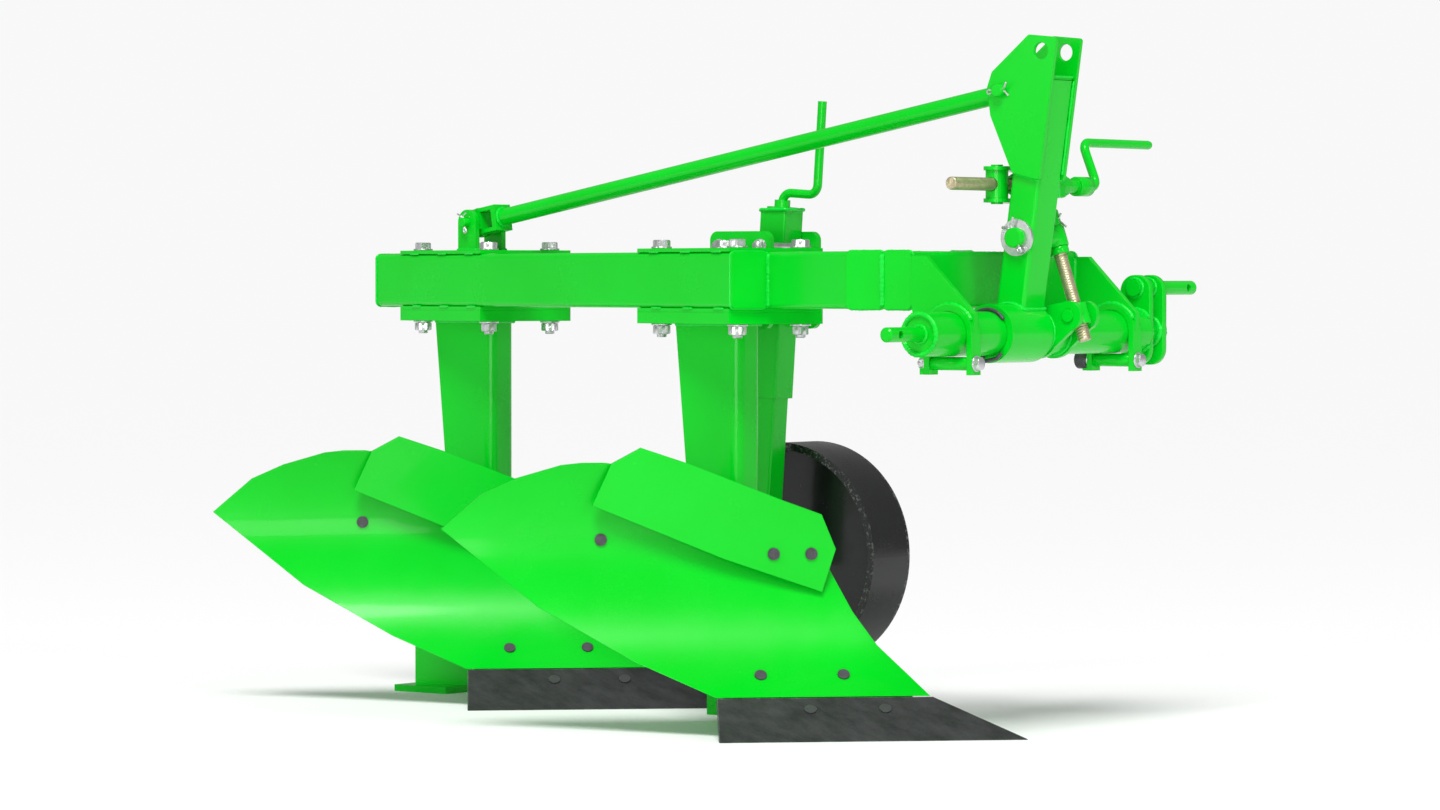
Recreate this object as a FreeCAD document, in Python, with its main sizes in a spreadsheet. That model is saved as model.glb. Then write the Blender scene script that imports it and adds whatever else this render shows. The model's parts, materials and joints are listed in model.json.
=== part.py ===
import FreeCAD, Part
import Sketcher
import math
import os
from types import SimpleNamespace
from FreeCAD import Placement, Rotation, Vector

# Two-furrow mounted plough. Millimetres, +X is the direction of travel, +Y is the land side,
# +Z is up. Z = 0 is the ground that both shares stand on. The pieces are placed from the axis of
# the cross shaft at X = 0; at the end the whole model moves so that the middle of its footprint
# is the origin.

VALUES = {
    # frame tubes
    "beam_width": 66.0,
    "beam_height": 86.0,
    "beam_wall": 6.0,
    "beam_corner": 7.0,
    "beam_bottom": 647.0,
    "beam_angle": 18.4,
    "beam_ahead": 133.0,
    "beam_behind": 206.0,
    "cap_thickness": 5.0,
    "body_spacing": 711.0,
    "leg_x": -499.0,
    "leg_y": -74.0,
    # cross member and headstock carrier
    "head_front": -70.0,
    "head_depth": 52.0,
    "frame_near": -203.0,
    "frame_far": 246.0,
    "wheel_beam_y": 70.0,
    "wheel_beam_length": 470.0,
    # flanges and the bolts through them
    "flange_length": 250.0,
    "flange_width": 180.0,
    "flange_thickness": 18.0,
    "flange_corner": 10.0,
    "plate_thickness": 6.0,
    "flange_bolt_inset": 22.0,
    "flange_bolt_edge": 31.0,
    "flange_bolt": 16.0,
    "bolt_play": 1.0,
    # bolt proportions, as shares of the bolt's diameter
    "head_share": 0.65,
    "nut_share": 0.85,
    "hex_share": 0.87,
    "washer_share": 0.19,
    "washer_out_share": 1.0,
    "tail_share": 0.3,
    # legs
    "leg_front": 38.0,
    "leg_top_rear": 84.0,
    "leg_low_rear": 36.0,
    "leg_thickness": 60.0,
    "leg_corner": 16.0,
    "leg_foot": 96.0,
    # plough bodies: share edge line and working face
    "share_ahead": 278.0,
    "share_side": 131.0,
    "share_angle": 44.0,
    "share_length": 326.0,
    "share_height": 60.0,
    "share_slope_angle": 35.0,
    "share_thickness": 11.0,
    "board_height": 410.0,
    "board_length": 742.0,
    "board_lean_angle": 110.0,
    "board_thickness": 6.0,
    "joint_gap": 0.5,
    "face_gap": 0.3,
    "board_bolt": 14.0,
    "low_head_share": 0.35,
    "low_head_out_share": 1.35,
    "low_nut_share": 1.5,
    "low_nut_out_share": 1.5,
    "nut_clear": 1.6,
    "board_bolt_rise": 31.0,
    "board_bolt_pitch": 127.0,
    "brace_bolt_along": 318.0,
    "brace_bolt_height": 294.0,
    "board_bolt_back_share": 0.66,
    "share_bolt_back_share": 0.05,
    "share_bolt_ahead_share": 0.3,
    "share_bolt_lift_share": 0.72,
    "lug_length": 88.0,
    "lug_near": 18.0,
    "lug_width": 36.0,
    "lug_thickness": 8.0,
    "lug_corner": 8.0,
    "brace_radius": 9.0,
    "trash_thickness": 8.0,
    "trash_bottom": 213.0,
    "trash_length": 374.0,
    "trash_height": 222.0,
    "trash_front": 41.0,
    "trash_bolt_pitch": 58.0,
    "trash_bolt_front": 38.0,
    "trash_bolt_height": 272.0,
    "seat_thickness": 12.0,
    "seat_length": 290.0,
    "seat_rise": 50.0,
    "seat_drop_share": 0.75,
    "frog_thickness": 20.0,
    "frog_height": 150.0,
    "frog_side_share": 0.1,
    "landside_thickness": 10.0,
    "landside_height": 82.0,
    "landside_length": 420.0,
    "landside_lift": 11.0,
    "landside_side_share": 0.42,
    "sole_length": 112.0,
    "sole_width": 64.0,
    "sole_thickness": 11.0,
    # cross shaft and its bearings
    "shaft_height": 611.0,
    "shaft_radius": 33.0,
    "shaft_near": 282.0,
    "shaft_far": 300.0,
    "shaft_wall": 8.0,
    "bearing_play": 0.4,
    "running_play": 0.1,
    "pin_radius": 11.0,
    "pin_near_reach": 86.0,
    "pin_far_reach": 116.0,
    "pin_chamfer": 3.0,
    "link_hole_share": 0.5,
    "plug_length": 12.0,
    "gusset_thickness": 10.0,
    "gusset_top_depth": 25.0,
    "gusset_shoulder": 640.0,
    "gusset_lug": 12.0,
    "strap_width": 24.0,
    "strap_thickness": 9.0,
    "strap_drop": 60.0,
    "keeper_bolt": 12.0,
    "keeper_spacer": 10.0,
    # mast
    "mast_y": -20.0,
    "mast_foot_x": -4.0,
    "mast_lean_angle": 8.3,
    "mast_depth": 50.0,
    "mast_width": 60.0,
    "mast_wall": 5.0,
    "mast_corner": 6.0,
    "mast_top": 990.0,
    "sleeve_radius": 44.0,
    "sleeve_near": 83.0,
    "sleeve_far": 25.0,
    "ring_section": 6.0,
    "cheek_thickness": 6.0,
    "cheek_bottom": 838.0,
    "cheek_height": 216.0,
    "cheek_depth": 124.0,
    "cheek_rear": 35.0,
    "cheek_corner": 5.0,
    "top_hole": 12.5,
    "top_hole_x": 61.0,
    "top_hole_z": 1029.0,
    "stay_pin_x": -12.0,
    "stay_pin_z": 972.0,
    "stay_pin": 10.0,
    "stay_pin_head_share": 0.5,
    "mast_pin_rise": 142.0,
    "mast_pin": 15.0,
    "mast_washer": 27.5,
    "mast_washer_thickness": 5.0,
    "cotter": 2.5,
    # levelling screw
    "tilt_y": 51.5,
    "tilt_pin_x": 57.0,
    "tilt_pin_rise": 26.0,
    "tilt_screw": 10.0,
    "tilt_boss_radius": 17.0,
    "tilt_boss_height": 31.0,
    "tilt_ear_gap": 36.0,
    "tilt_ear_thickness": 9.0,
    "tilt_ear_radius": 22.0,
    "tilt_nut_radius": 17.0,
    "tilt_nut_height": 32.0,
    "tilt_head": 26.0,
    "tilt_tail": 40.0,
    "tilt_play": 1.2,
    "tilt_pivot": 10.0,
    # crank arms for the raised hitch pin
    "arm_thickness": 11.0,
    "arm_gap": 27.0,
    "arm_offset": 67.0,
    "arm_width": 54.0,
    "arm_below": 52.0,
    "arm_above": 20.0,
    "arm_corner": 18.0,
    "arm_stub": 20.0,
    "pin_shank": 13.0,
    "pin_head": 6.0,
    # side shift
    "shift_x": -33.0,
    "shift_z": 833.0,
    "shift_nut_y": -32.0,
    "shift_radius": 10.0,
    "shift_near": 122.0,
    "shift_bearing": 18.5,
    "shift_bearing_near": 20.0,
    "shift_bearing_length": 121.0,
    "shift_saddle": 40.0,
    "shift_nut_height": 42.0,
    "shift_nut_radius": 17.0,
    "shift_nut_pin": 9.0,
    "clevis_thickness": 6.0,
    "clevis_width": 40.0,
    "clevis_post": 40.0,
    "clevis_post_y": 155.0,
    "crank_bar": 7.0,
    "crank_bend": 16.0,
    "shift_boss_gap": 40.0,
    "shift_boss_length": 36.0,
    "shift_crank_reach": 11.0,
    "shift_crank_arm": 42.0,
    "shift_crank_handle": 176.0,
    "shift_crank_angle": -22.0,
    "collar_radius": 15.0,
    "collar_length": 11.0,
    # stay
    "stay_radius": 14.0,
    "stay_joint_p": -692.0,
    "stay_joint_side": -20.0,
    "stay_joint_rise": 46.0,
    "stay_eye_radius": 19.0,
    "stay_eye_width": 50.0,
    "stay_eye_play": 3.2,
    "stay_ear_gap": 50.0,
    "stay_ear_thickness": 9.0,
    "stay_ear_width": 42.0,
    "stay_block_length": 34.0,
    "stay_block_height": 28.0,
    "stay_fork_arm": 7.0,
    "stay_fork_width": 36.0,
    "stay_fork_length": 52.0,
    "stay_fork_web": 10.0,
    "joint_pin": 8.0,
    # land wheel, its column and clamp
    "column_lean_angle": 4.0,
    "column_side": 40.0,
    "column_wall": 5.0,
    "column_corner": 4.0,
    "column_play": 0.4,
    "sleeve_side": 50.0,
    "sleeve_top": 795.0,
    "sleeve_length": 292.0,
    "sleeve_cap": 8.0,
    "column_top": 690.0,
    "clamp_length": 118.0,
    "clamp_height": 154.0,
    "clamp_thickness": 10.0,
    "clamp_corner": 14.0,
    "clamp_bolt": 12.0,
    "clamp_bolt_gap": 9.0,
    "clamp_bolt_clear": 4.0,
    "wheel_setback": 46.0,
    "wheel_height": 250.0,
    "wheel_radius": 180.0,
    "wheel_width": 100.0,
    "wheel_rim": 5.0,
    "wheel_lip": 7.0,
    "wheel_disc": 5.0,
    "wheel_inset": 34.0,
    "wheel_gap": 27.0,
    "axle_radius": 15.0,
    "axle_washer": 4.0,
    "hub_radius": 29.0,
    "hub_length": 88.0,
    "depth_radius": 10.0,
    "depth_screw_length": 190.0,
    "depth_nut": 12.0,
    "depth_washer": 24.0,
    "washer_thick": 3.0,
    "depth_crank_arm": 35.0,
    "depth_crank_handle": 132.0,
    "overrun": 5.0,
}


class Size:
    """A length or share together with the sheet formula that it comes from."""

    def __init__(self, value, formula):
        self.value = float(value)
        self.formula = formula

    def __float__(self):
        return self.value

    def __add__(self, other):
        return Size(self.value + float(other), "(%s + %s)" % (self.formula, text(other)))

    def __radd__(self, other):
        return self + other

    def __sub__(self, other):
        return Size(self.value - float(other), "(%s - %s)" % (self.formula, text(other)))

    def __rsub__(self, other):
        return Size(float(other) - self.value, "(%s - %s)" % (text(other), self.formula))

    def __mul__(self, other):
        return Size(self.value * float(other), "(%s * %s)" % (self.formula, text(other)))

    def __rmul__(self, other):
        return self * other

    def __truediv__(self, other):
        return Size(self.value / float(other), "(%s / %s)" % (self.formula, text(other)))

    def __neg__(self):
        return Size(-self.value, "(-1 * %s)" % self.formula)

    def root(self):
        return Size(math.sqrt(self.value), "sqrt(%s)" % self.formula)


def text(number):
    """The formula of a size, or a plain number as written."""
    if isinstance(number, Size):
        return number.formula
    return repr(float(number))


doc = FreeCAD.newDocument("Plough")
sheet = doc.addObject("Spreadsheet::Sheet", "Sizes")
for row, (alias, number) in enumerate(VALUES.items(), start=1):
    sheet.set("A%d" % row, alias)
    sheet.set("B%d" % row, str(number))
    sheet.setAlias("B%d" % row, alias)
doc.recompute()
size = SimpleNamespace(**{name: Size(number, "Sizes." + name) for name, number in VALUES.items()})

NODES = []
X_AXIS = Vector(1, 0, 0)
Y_AXIS = Vector(0, 1, 0)
Z_AXIS = Vector(0, 0, 1)
UPRIGHT = Rotation()
ALONG_X = Rotation(Y_AXIS, 90)
ALONG_Y = Rotation(X_AXIS, -90)
STANDING = Rotation(X_AXIS, 90)


def at(x=0, y=0, z=0, turn=UPRIGHT):
    """A placement from sizes or numbers."""
    return Placement(Vector(float(x), float(y), float(z)), turn)


def bind(thing, prop, number):
    """Set a property, through the sheet where the number is a size."""
    if isinstance(number, Size):
        thing.setExpression(prop, number.formula)
    else:
        setattr(thing, prop, number)


def node(thing, label, place=None):
    """Name an object as a finished sub-part."""
    thing.Label = label
    if place is not None:
        thing.Placement = place
    NODES.append(thing)
    return thing


def box(length, width, height, place=None):
    """A block with one corner at its own origin."""
    block = doc.addObject("Part::Box", "Block")
    bind(block, "Length", length)
    bind(block, "Width", width)
    bind(block, "Height", height)
    if place is not None:
        block.Placement = place
    return block


def rod(radius, height, place=None):
    """A round bar that rises from its own origin."""
    bar = doc.addObject("Part::Cylinder", "Rod")
    bind(bar, "Radius", radius)
    bind(bar, "Height", height)
    if place is not None:
        bar.Placement = place
    return bar


def hexagon(radius, height, place=None):
    """A hexagonal prism for a nut or a bolt head."""
    prism = doc.addObject("Part::Prism", "Hexagon")
    prism.Polygon = 6
    bind(prism, "Circumradius", radius)
    bind(prism, "Height", height)
    if place is not None:
        prism.Placement = place
    return prism


def cut(base, *tools):
    """The base without the tools."""
    result = doc.addObject("Part::Cut", "Cut")
    result.Base = base
    result.Tool = tools[0] if len(tools) == 1 else fuse(*tools)
    return result


def fuse(*shapes):
    """Several shapes as one solid."""
    result = doc.addObject("Part::MultiFuse", "Weldment")
    result.Shapes = list(shapes)
    return result


def group(*shapes):
    """Several loose solids of one kind in one sub-part."""
    result = doc.addObject("Part::Compound", "Set")
    result.Links = list(shapes)
    return result


def body_plane(body, role):
    """One of a body's own origin planes."""
    for feature in body.Origin.OriginFeatures:
        if feature.Role == role:
            return feature
    raise ValueError(role)


def new_sketch(body):
    """A sketch on the body's own XY plane."""
    sketch = body.newObject("Sketcher::SketchObject", "Outline")
    sketch.AttachmentSupport = (body_plane(body, "XY_Plane"), [""])
    sketch.MapMode = "FlatFace"
    return sketch


def pin_point(sketch, element, end, x, y):
    """Hold one point of a sketch at two sizes from the origin."""
    for kind, axis, number in (("DistanceX", -2, x), ("DistanceY", -1, y)):
        if float(number) == 0:
            sketch.addConstraint(Sketcher.Constraint("PointOnObject", element, end, axis))
            continue
        rule = Sketcher.Constraint(kind, -1, 1, element, end, float(number))
        index = sketch.addConstraint(rule)
        if isinstance(number, Size):
            sketch.setExpression("Constraints[%d]" % index, number.formula)


def draw_polygon(sketch, points):
    """A closed outline of straight edges through the given points."""
    first = sketch.GeometryCount
    corners = [Vector(float(x), float(y), 0) for x, y in points]
    count = len(corners)
    for index in range(count):
        line = Part.LineSegment(corners[index], corners[(index + 1) % count])
        sketch.addGeometry(line, False)
    for index in range(count):
        follower = first + (index + 1) % count
        sketch.addConstraint(Sketcher.Constraint("Coincident", first + index, 2, follower, 1))
    for index, (x, y) in enumerate(points):
        pin_point(sketch, first + index, 1, x, y)


def draw_circle(sketch, x, y, radius):
    """A circle held by its centre and radius."""
    centre = Vector(float(x), float(y), 0)
    index = sketch.addGeometry(Part.Circle(centre, Z_AXIS, float(radius)), False)
    pin_point(sketch, index, 3, x, y)
    rule = sketch.addConstraint(Sketcher.Constraint("Radius", index, float(radius)))
    if isinstance(radius, Size):
        sketch.setExpression("Constraints[%d]" % rule, radius.formula)


def upright_edges(shape, points):
    """Names of the edges that rise from the given outline points."""
    names = []
    for number, edge in enumerate(shape.Edges, start=1):
        start = edge.Vertexes[0].Point
        finish = edge.Vertexes[-1].Point
        if abs(start.x - finish.x) + abs(start.y - finish.y) > Part.Precision.confusion():
            continue
        for x, y in points:
            if math.hypot(start.x - float(x), start.y - float(y)) < EDGE_REACH:
                names.append("Edge%d" % number)
                break
    return names


EDGE_REACH = 0.01


def plate(points, thickness, holes=(), rounded=(), radius=None, inner=None):
    """A flat plate: outline, round holes, and corners to round."""
    body = doc.addObject("PartDesign::Body", "Plate")
    sketch = new_sketch(body)
    draw_polygon(sketch, points)
    if inner is not None:
        draw_polygon(sketch, inner)
    for x, y, hole in holes:
        draw_circle(sketch, x, y, hole)
    pad = body.newObject("PartDesign::Pad", "Thickness")
    pad.Profile = sketch
    bind(pad, "Length", thickness)
    doc.recompute()
    if rounded:
        fillet = body.newObject("PartDesign::Fillet", "Corners")
        fillet.Base = (pad, upright_edges(pad.Shape, rounded))
        bind(fillet, "Radius", radius)
        body.Tip = fillet
    return body


def rectangle(length, width, left=0, bottom=0):
    """The four corners of a rectangle."""
    return [(left, bottom), (left + length, bottom), (left + length, bottom + width), (left, bottom + width)]


def box_tube(width, height, wall, length, corner):
    """A square or rectangular tube that rises from its own origin, centred on it."""
    outer = rectangle(width, height, -width / 2, -height / 2)
    bore_width = width - wall * 2
    bore_height = height - wall * 2
    inner = rectangle(bore_width, bore_height, -bore_width / 2, -bore_height / 2)
    return plate(outer, length, rounded=outer, radius=corner, inner=inner)


def round_tube(outer, inner, length):
    """A round tube that rises from its own origin."""
    return cut(rod(outer, length), rod(inner, length))


def washer(outer, bore, thickness, place):
    """A flat washer."""
    ring = cut(rod(outer, thickness), rod(bore, thickness))
    ring.Placement = place
    return ring


def bolt(diameter, grip, place):
    """A hexagon bolt with washers and nut: the grip starts at the origin and runs up."""
    shank = diameter / 2
    flat = diameter * size.washer_share
    head_side = diameter * size.hex_share
    tail = flat + diameter * (size.nut_share + size.tail_share)
    stem = rod(shank, grip + tail + flat, at(z=-flat))
    head = hexagon(head_side, diameter * size.head_share)
    head.Placement = at(z=-(flat + diameter * size.head_share))
    nut = hexagon(head_side, diameter * size.nut_share, at(z=grip + flat))
    low = rod(diameter * size.washer_out_share, flat, at(z=-flat))
    high = rod(diameter * size.washer_out_share, flat, at(z=grip))
    whole = fuse(stem, head, nut, low, high)
    whole.Placement = place
    return whole


def turned(angle):
    """A turn about the vertical."""
    return Rotation(Z_AXIS, float(angle))


def along_beam(p, side):
    """A ground point at p along the beams and side across them, from the front leg's axis."""
    angle = math.radians(float(size.beam_angle))
    x = float(size.leg_x) + float(p) * math.cos(angle) + float(side) * math.sin(angle)
    y = float(size.leg_y) - float(p) * math.sin(angle) + float(side) * math.cos(angle)
    return x, y


BEAM_TURN = Rotation(Z_AXIS, -VALUES["beam_angle"])
beam_top = size.beam_bottom + size.beam_height
beam_middle = size.beam_bottom + size.beam_height / 2
flange_top = size.beam_bottom - size.plate_thickness
flange_bottom = flange_top - size.flange_thickness
main_beam_side = size.beam_width / 2 - size.flange_width / 2
link_beam_side = main_beam_side + size.beam_width
bolt_p = size.flange_length / 2 - size.flange_bolt_inset
bolt_side = size.flange_width / 2 - size.flange_bolt_edge
head_rear = size.head_front - size.head_depth
frame_rear = head_rear - size.beam_width
wheel_x = frame_rear - size.wheel_beam_length + size.wheel_setback
mast_pin_height = size.shaft_height + size.mast_pin_rise
stay_joint_height = beam_top + size.plate_thickness + size.stay_joint_rise


def beam_placement(p, side, z):
    """A placement aligned with the diagonal beams."""
    x, y = along_beam(p, side)
    return at(x, y, z, BEAM_TURN)


def lying_tube(width, height, wall, length, corner):
    """A rectangular tube along +X, centred on its axis."""
    tube = box_tube(height, width, wall, length, corner)
    tube.Placement = at(turn=ALONG_X)
    return tube


def beam_tube(length):
    """A length of beam tube along +X."""
    return lying_tube(size.beam_width, size.beam_height, size.beam_wall, length, size.beam_corner)


def main_beam():
    """The long diagonal beam, drilled where the flange bolts pass through it."""
    length = size.body_spacing + size.beam_ahead + size.beam_behind - size.cap_thickness * 2
    tube = beam_tube(length)
    start = -(size.body_spacing + size.beam_behind) + size.cap_thickness
    drills = []
    for flange in (0, -1):
        for end in (-1, 1):
            p = size.body_spacing * flange + bolt_p * end - start
            row = -bolt_side - main_beam_side
            hole = rod((size.flange_bolt + size.bolt_play) / 2, size.beam_height + size.overrun * 2)
            hole.Placement = at(p, row, -(size.beam_height / 2 + size.overrun))
            drills.append(hole)
    return node(cut(tube, *drills), "main_beam", beam_placement(start, main_beam_side, beam_middle))


def link_beam():
    """The short diagonal beam, mitred to the rear face of the cross member."""
    reach = size.beam_width * 8
    tube = beam_tube(reach)
    rear = beam_placement(-size.flange_length / 2, link_beam_side, beam_middle)
    tube.Placement = rear.multiply(tube.Placement)
    ahead = box(reach, reach * 2, size.beam_height * 2)
    ahead.Placement = at(frame_rear, -reach, size.beam_bottom - size.beam_height / 2)
    return node(cut(tube, ahead), "link_beam")


def cross_members():
    """The cross member and the headstock carrier in front of it."""
    length = size.frame_far - size.frame_near - size.cap_thickness * 2
    for label, depth, rear in (("cross_member", size.beam_width, frame_rear),
                               ("head_member", size.head_depth, head_rear)):
        tube = box_tube(depth, size.beam_height, size.beam_wall, length, size.beam_corner)
        place = at(rear + depth / 2, size.frame_near + size.cap_thickness, beam_middle, ALONG_Y)
        node(tube, label, place)


def wheel_beam():
    """The tube that carries the land wheel, back from the cross member."""
    length = size.wheel_beam_length - size.cap_thickness
    middle = size.wheel_beam_y + size.beam_width / 2
    node(beam_tube(length), "wheel_beam")
    NODES[-1].Placement = at(frame_rear - length, middle, beam_middle, ALONG_X)


def end_cap(width, place):
    """A plate that closes a beam tube, standing across +X."""
    outline = rectangle(size.beam_height, width, -size.beam_height / 2, -width / 2)
    cap = plate(outline, size.cap_thickness, rounded=outline, radius=size.beam_corner)
    cap.Placement = place.multiply(at(turn=ALONG_X))
    return cap


def end_caps():
    """The caps on the open ends of the frame tubes."""
    rear_p = -(size.body_spacing + size.beam_behind)
    caps = [end_cap(size.beam_width, beam_placement(rear_p, main_beam_side, beam_middle))]
    front_p = size.beam_ahead - size.cap_thickness
    caps.append(end_cap(size.beam_width, beam_placement(front_p, main_beam_side, beam_middle)))
    for depth, rear in ((size.beam_width, frame_rear), (size.head_depth, head_rear)):
        for y in (size.frame_near, size.frame_far - size.cap_thickness):
            caps.append(end_cap(depth, at(rear + depth / 2, y, beam_middle, turned(90))))
    wheel_middle = size.wheel_beam_y + size.beam_width / 2
    caps.append(end_cap(size.beam_width, at(frame_rear - size.wheel_beam_length, wheel_middle, beam_middle)))
    return node(group(*caps), "end_caps")


def flange_holes():
    """The four bolt holes of a flange, about its centre."""
    radius = (size.flange_bolt + size.bolt_play) / 2
    return [(bolt_p * a, bolt_side * b, radius) for a in (-1, 1) for b in (-1, 1)]


def flange_plate(thickness):
    """A flange-sized plate centred on its origin."""
    length = size.flange_length
    width = size.flange_width
    outline = rectangle(length, width, -length / 2, -width / 2)
    return plate(outline, thickness, flange_holes(), outline[2:], size.flange_corner)


def flange_set(prefix, p):
    """Top plate, bottom plate and bolts of one leg's fixing."""
    node(flange_plate(size.plate_thickness), prefix + "_top_plate", beam_placement(p, 0, beam_top))
    node(flange_plate(size.plate_thickness), prefix + "_bottom_plate", beam_placement(p, 0, flange_top))
    grip = size.beam_height + size.plate_thickness * 2 + size.flange_thickness
    bolts = []
    for x, y, radius in flange_holes():
        place = at(x, y, grip, Rotation(X_AXIS, 180))
        bolts.append(bolt(size.flange_bolt, grip, place))
    node(group(*bolts), prefix + "_flange_bolts", beam_placement(p, 0, flange_bottom))


def leg(prefix, p):
    """A leg: bolting flange on top of a tapered box that narrows to the foot."""
    height = flange_bottom - size.leg_foot
    outline = [
        (-size.leg_low_rear, 0),
        (size.leg_front, 0),
        (size.leg_front, height),
        (-size.leg_top_rear, height),
    ]
    shank = plate(outline, size.leg_thickness)
    shank.Placement = at(0, size.leg_thickness / 2, -height, STANDING)
    doc.recompute()
    rounding = doc.addObject("Part::Fillet", "Leg rounding")
    rounding.Base = shank
    corner = VALUES["leg_corner"]
    rounding.Edges = [(number, corner, corner) for number in front_edges(shank.Shape)]
    flange = flange_plate(size.flange_thickness)
    flange.Placement = Placement(Vector(0, 0, 0), BEAM_TURN)
    x, y = along_beam(p, 0)
    return node(fuse(rounding, flange, *wing_brace()), prefix + "_leg", at(x, y, flange_bottom))


def wing_brace():
    """The bar from a leg to the mouldboard's wing, and the lug that is bolted to the wing."""
    bottom = at(size.share_ahead, -size.share_side, -flange_bottom, turned(size.share_angle))
    along, lift = brace_bolt_place()
    normal = face_normal(lift)
    seat = Vector(along, face_point(lift), lift) + normal * float(size.board_thickness + size.face_gap)
    outline = rectangle(size.lug_length, size.lug_width, -size.lug_near, -size.lug_width / 2)
    hole = [(0, 0, (size.board_bolt + size.bolt_play) / 2)]
    lug = plate(outline, size.lug_thickness, hole, outline, size.lug_corner)
    lug.Placement = bottom.multiply(Placement(seat, Rotation(X_AXIS, normal.cross(X_AXIS), normal, "ZXY")))
    reach = size.lug_length - size.lug_near - size.lug_width / 2
    lift_off = normal * float(size.lug_thickness + size.brace_radius / 2)
    start = bottom.multVec(seat + X_AXIS * float(reach) + lift_off)
    run = Vector(0, 0, start.z) - start
    bar = rod(size.brace_radius, run.Length, Placement(start, Rotation(Z_AXIS, run)))
    return lug, bar


def front_edges(shape):
    """The two long front edges of a leg."""
    found = []
    for number, edge in enumerate(shape.Edges, start=1):
        start = edge.Vertexes[0].Point
        finish = edge.Vertexes[-1].Point
        ahead = min(start.x, finish.x) > float(size.leg_front) - EDGE_REACH
        if ahead and abs(start.z - finish.z) > float(size.leg_thickness) * 2:
            found.append(number)
    return found


def body_placement(p):
    """The frame of one plough bottom: origin under the share edge, +X along the edge."""
    x, y = along_beam(p, 0)
    return at(x + float(size.share_ahead), y - float(size.share_side), 0, turned(size.share_angle))


def face_point(lift):
    """Distance behind the share edge of the working face at a height."""
    slope = math.radians(float(size.share_slope_angle))
    low = float(size.share_height)
    depth = low / math.tan(slope)
    if lift <= low:
        return lift / math.tan(slope)
    angle = math.acos(math.cos(slope) - (lift - low) / face_radius())
    return depth + face_radius() * (math.sin(angle) - math.sin(slope))


def face_radius():
    """Radius of the mouldboard's hollow, from the share's slope to the top's lean."""
    slope = math.radians(float(size.share_slope_angle))
    lean = math.radians(float(size.board_lean_angle))
    rise = float(size.board_height) - float(size.share_height)
    return rise / (math.cos(slope) - math.cos(lean))


def profile_point(angle, radius):
    """A point (depth, height) of the hollow at a tangent angle, for a given radius."""
    slope = math.radians(float(size.share_slope_angle))
    centre_depth = float(size.share_height) / math.tan(slope) - face_radius() * math.sin(slope)
    centre_height = float(size.share_height) + face_radius() * math.cos(slope)
    return centre_depth + radius * math.sin(angle), centre_height - radius * math.cos(angle)


def hollow_sheet(front, back, low, high, left, right):
    """A curved sheet between two radii and two tangent angles, from left to right along the edge."""
    def place(angle, radius):
        depth, lift = profile_point(angle, radius)
        return Vector(float(left), depth, lift)

    middle = (low + high) / 2
    rising = Part.Arc(place(low, front), place(middle, front), place(high, front)).toShape()
    falling = Part.Arc(place(high, back), place(middle, back), place(low, back)).toShape()
    top = Part.makeLine(place(high, front), place(high, back))
    bottom = Part.makeLine(place(low, back), place(low, front))
    face = Part.Face(Part.Wire([rising, top, falling, bottom]))
    return face.extrude(Vector(float(right) - float(left), 0, 0))


BOARD_SHARES = [
    (-0.212, 0.148), (-0.368, 0.272), (-0.56, 0.47), (-0.757, 0.76),
    (-0.672, 0.893), (-0.603, 0.949), (-0.512, 0.997), (-0.444, 1.01),
    (-0.32, 0.98), (-0.03, 0.805), (0.038, 0.77), (0.046, 0.6),
    (0.09, 0.445), (0.135, 0.325), (0.195, 0.215), (0.23, 0.148),
]


def outline_prism(points, back):
    """An upright prism over an outline in the plane of the edge."""
    corners = [Vector(float(x), -float(back), float(z)) for x, z in points]
    face = Part.Face(Part.makePolygon(corners + corners[:1]))
    return face.extrude(Vector(0, float(back) * 3, 0))


def board_solid():
    """The mouldboard sheet in the frame of its body."""
    slope = math.radians(float(size.share_slope_angle))
    lean = math.radians(float(size.board_lean_angle))
    front = face_radius()
    back = front + float(size.board_thickness)
    gap = float(size.joint_gap) / front
    sheet_solid = hollow_sheet(front, back, slope + gap, lean, -size.board_length, size.board_length)
    points = [(size.board_length * a, size.board_height * b) for a, b in BOARD_SHARES]
    return sheet_solid.common(outline_prism(points, size.board_height))


def face_normal(lift):
    """Unit vector out of the back of the working face at a height."""
    slope = math.radians(float(size.share_slope_angle))
    angle = slope
    if lift > float(size.share_height):
        angle = math.acos(math.cos(slope) - (lift - float(size.share_height)) / face_radius())
    return Vector(0, math.sin(angle), -math.cos(angle))


def face_bore(along, lift, radius):
    """A drill square to the working face at a place on it."""
    normal = face_normal(lift)
    reach = float(size.seat_thickness) * 4
    start = Vector(along, face_point(lift), lift) - normal * reach
    return Part.makeCylinder(radius, reach * 2, start, normal)


def board_bolt_places():
    """Where bolts pass the mouldboard, as (along, height)."""
    low = float(size.share_height) + float(size.board_bolt_rise)
    near = -float(size.board_bolt_pitch * size.board_bolt_back_share)
    return [(near, low), (near + float(size.board_bolt_pitch), low)]


def trash_bolt_places():
    """Where bolts pass the trash board and mouldboard."""
    front = float(size.trash_front) - float(size.trash_bolt_front)
    height = float(size.trash_bolt_height)
    return [(front - float(size.trash_bolt_pitch), height), (front, height)]


def brace_bolt_place():
    """Where the brace bolt passes the mouldboard's wing."""
    return -float(size.brace_bolt_along), float(size.brace_bolt_height)


def feature(shape, label, place):
    """A sub-part whose shape comes from the working face."""
    thing = doc.addObject("Part::Feature", "Formed")
    thing.Shape = shape
    return node(thing, label, place)


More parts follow.
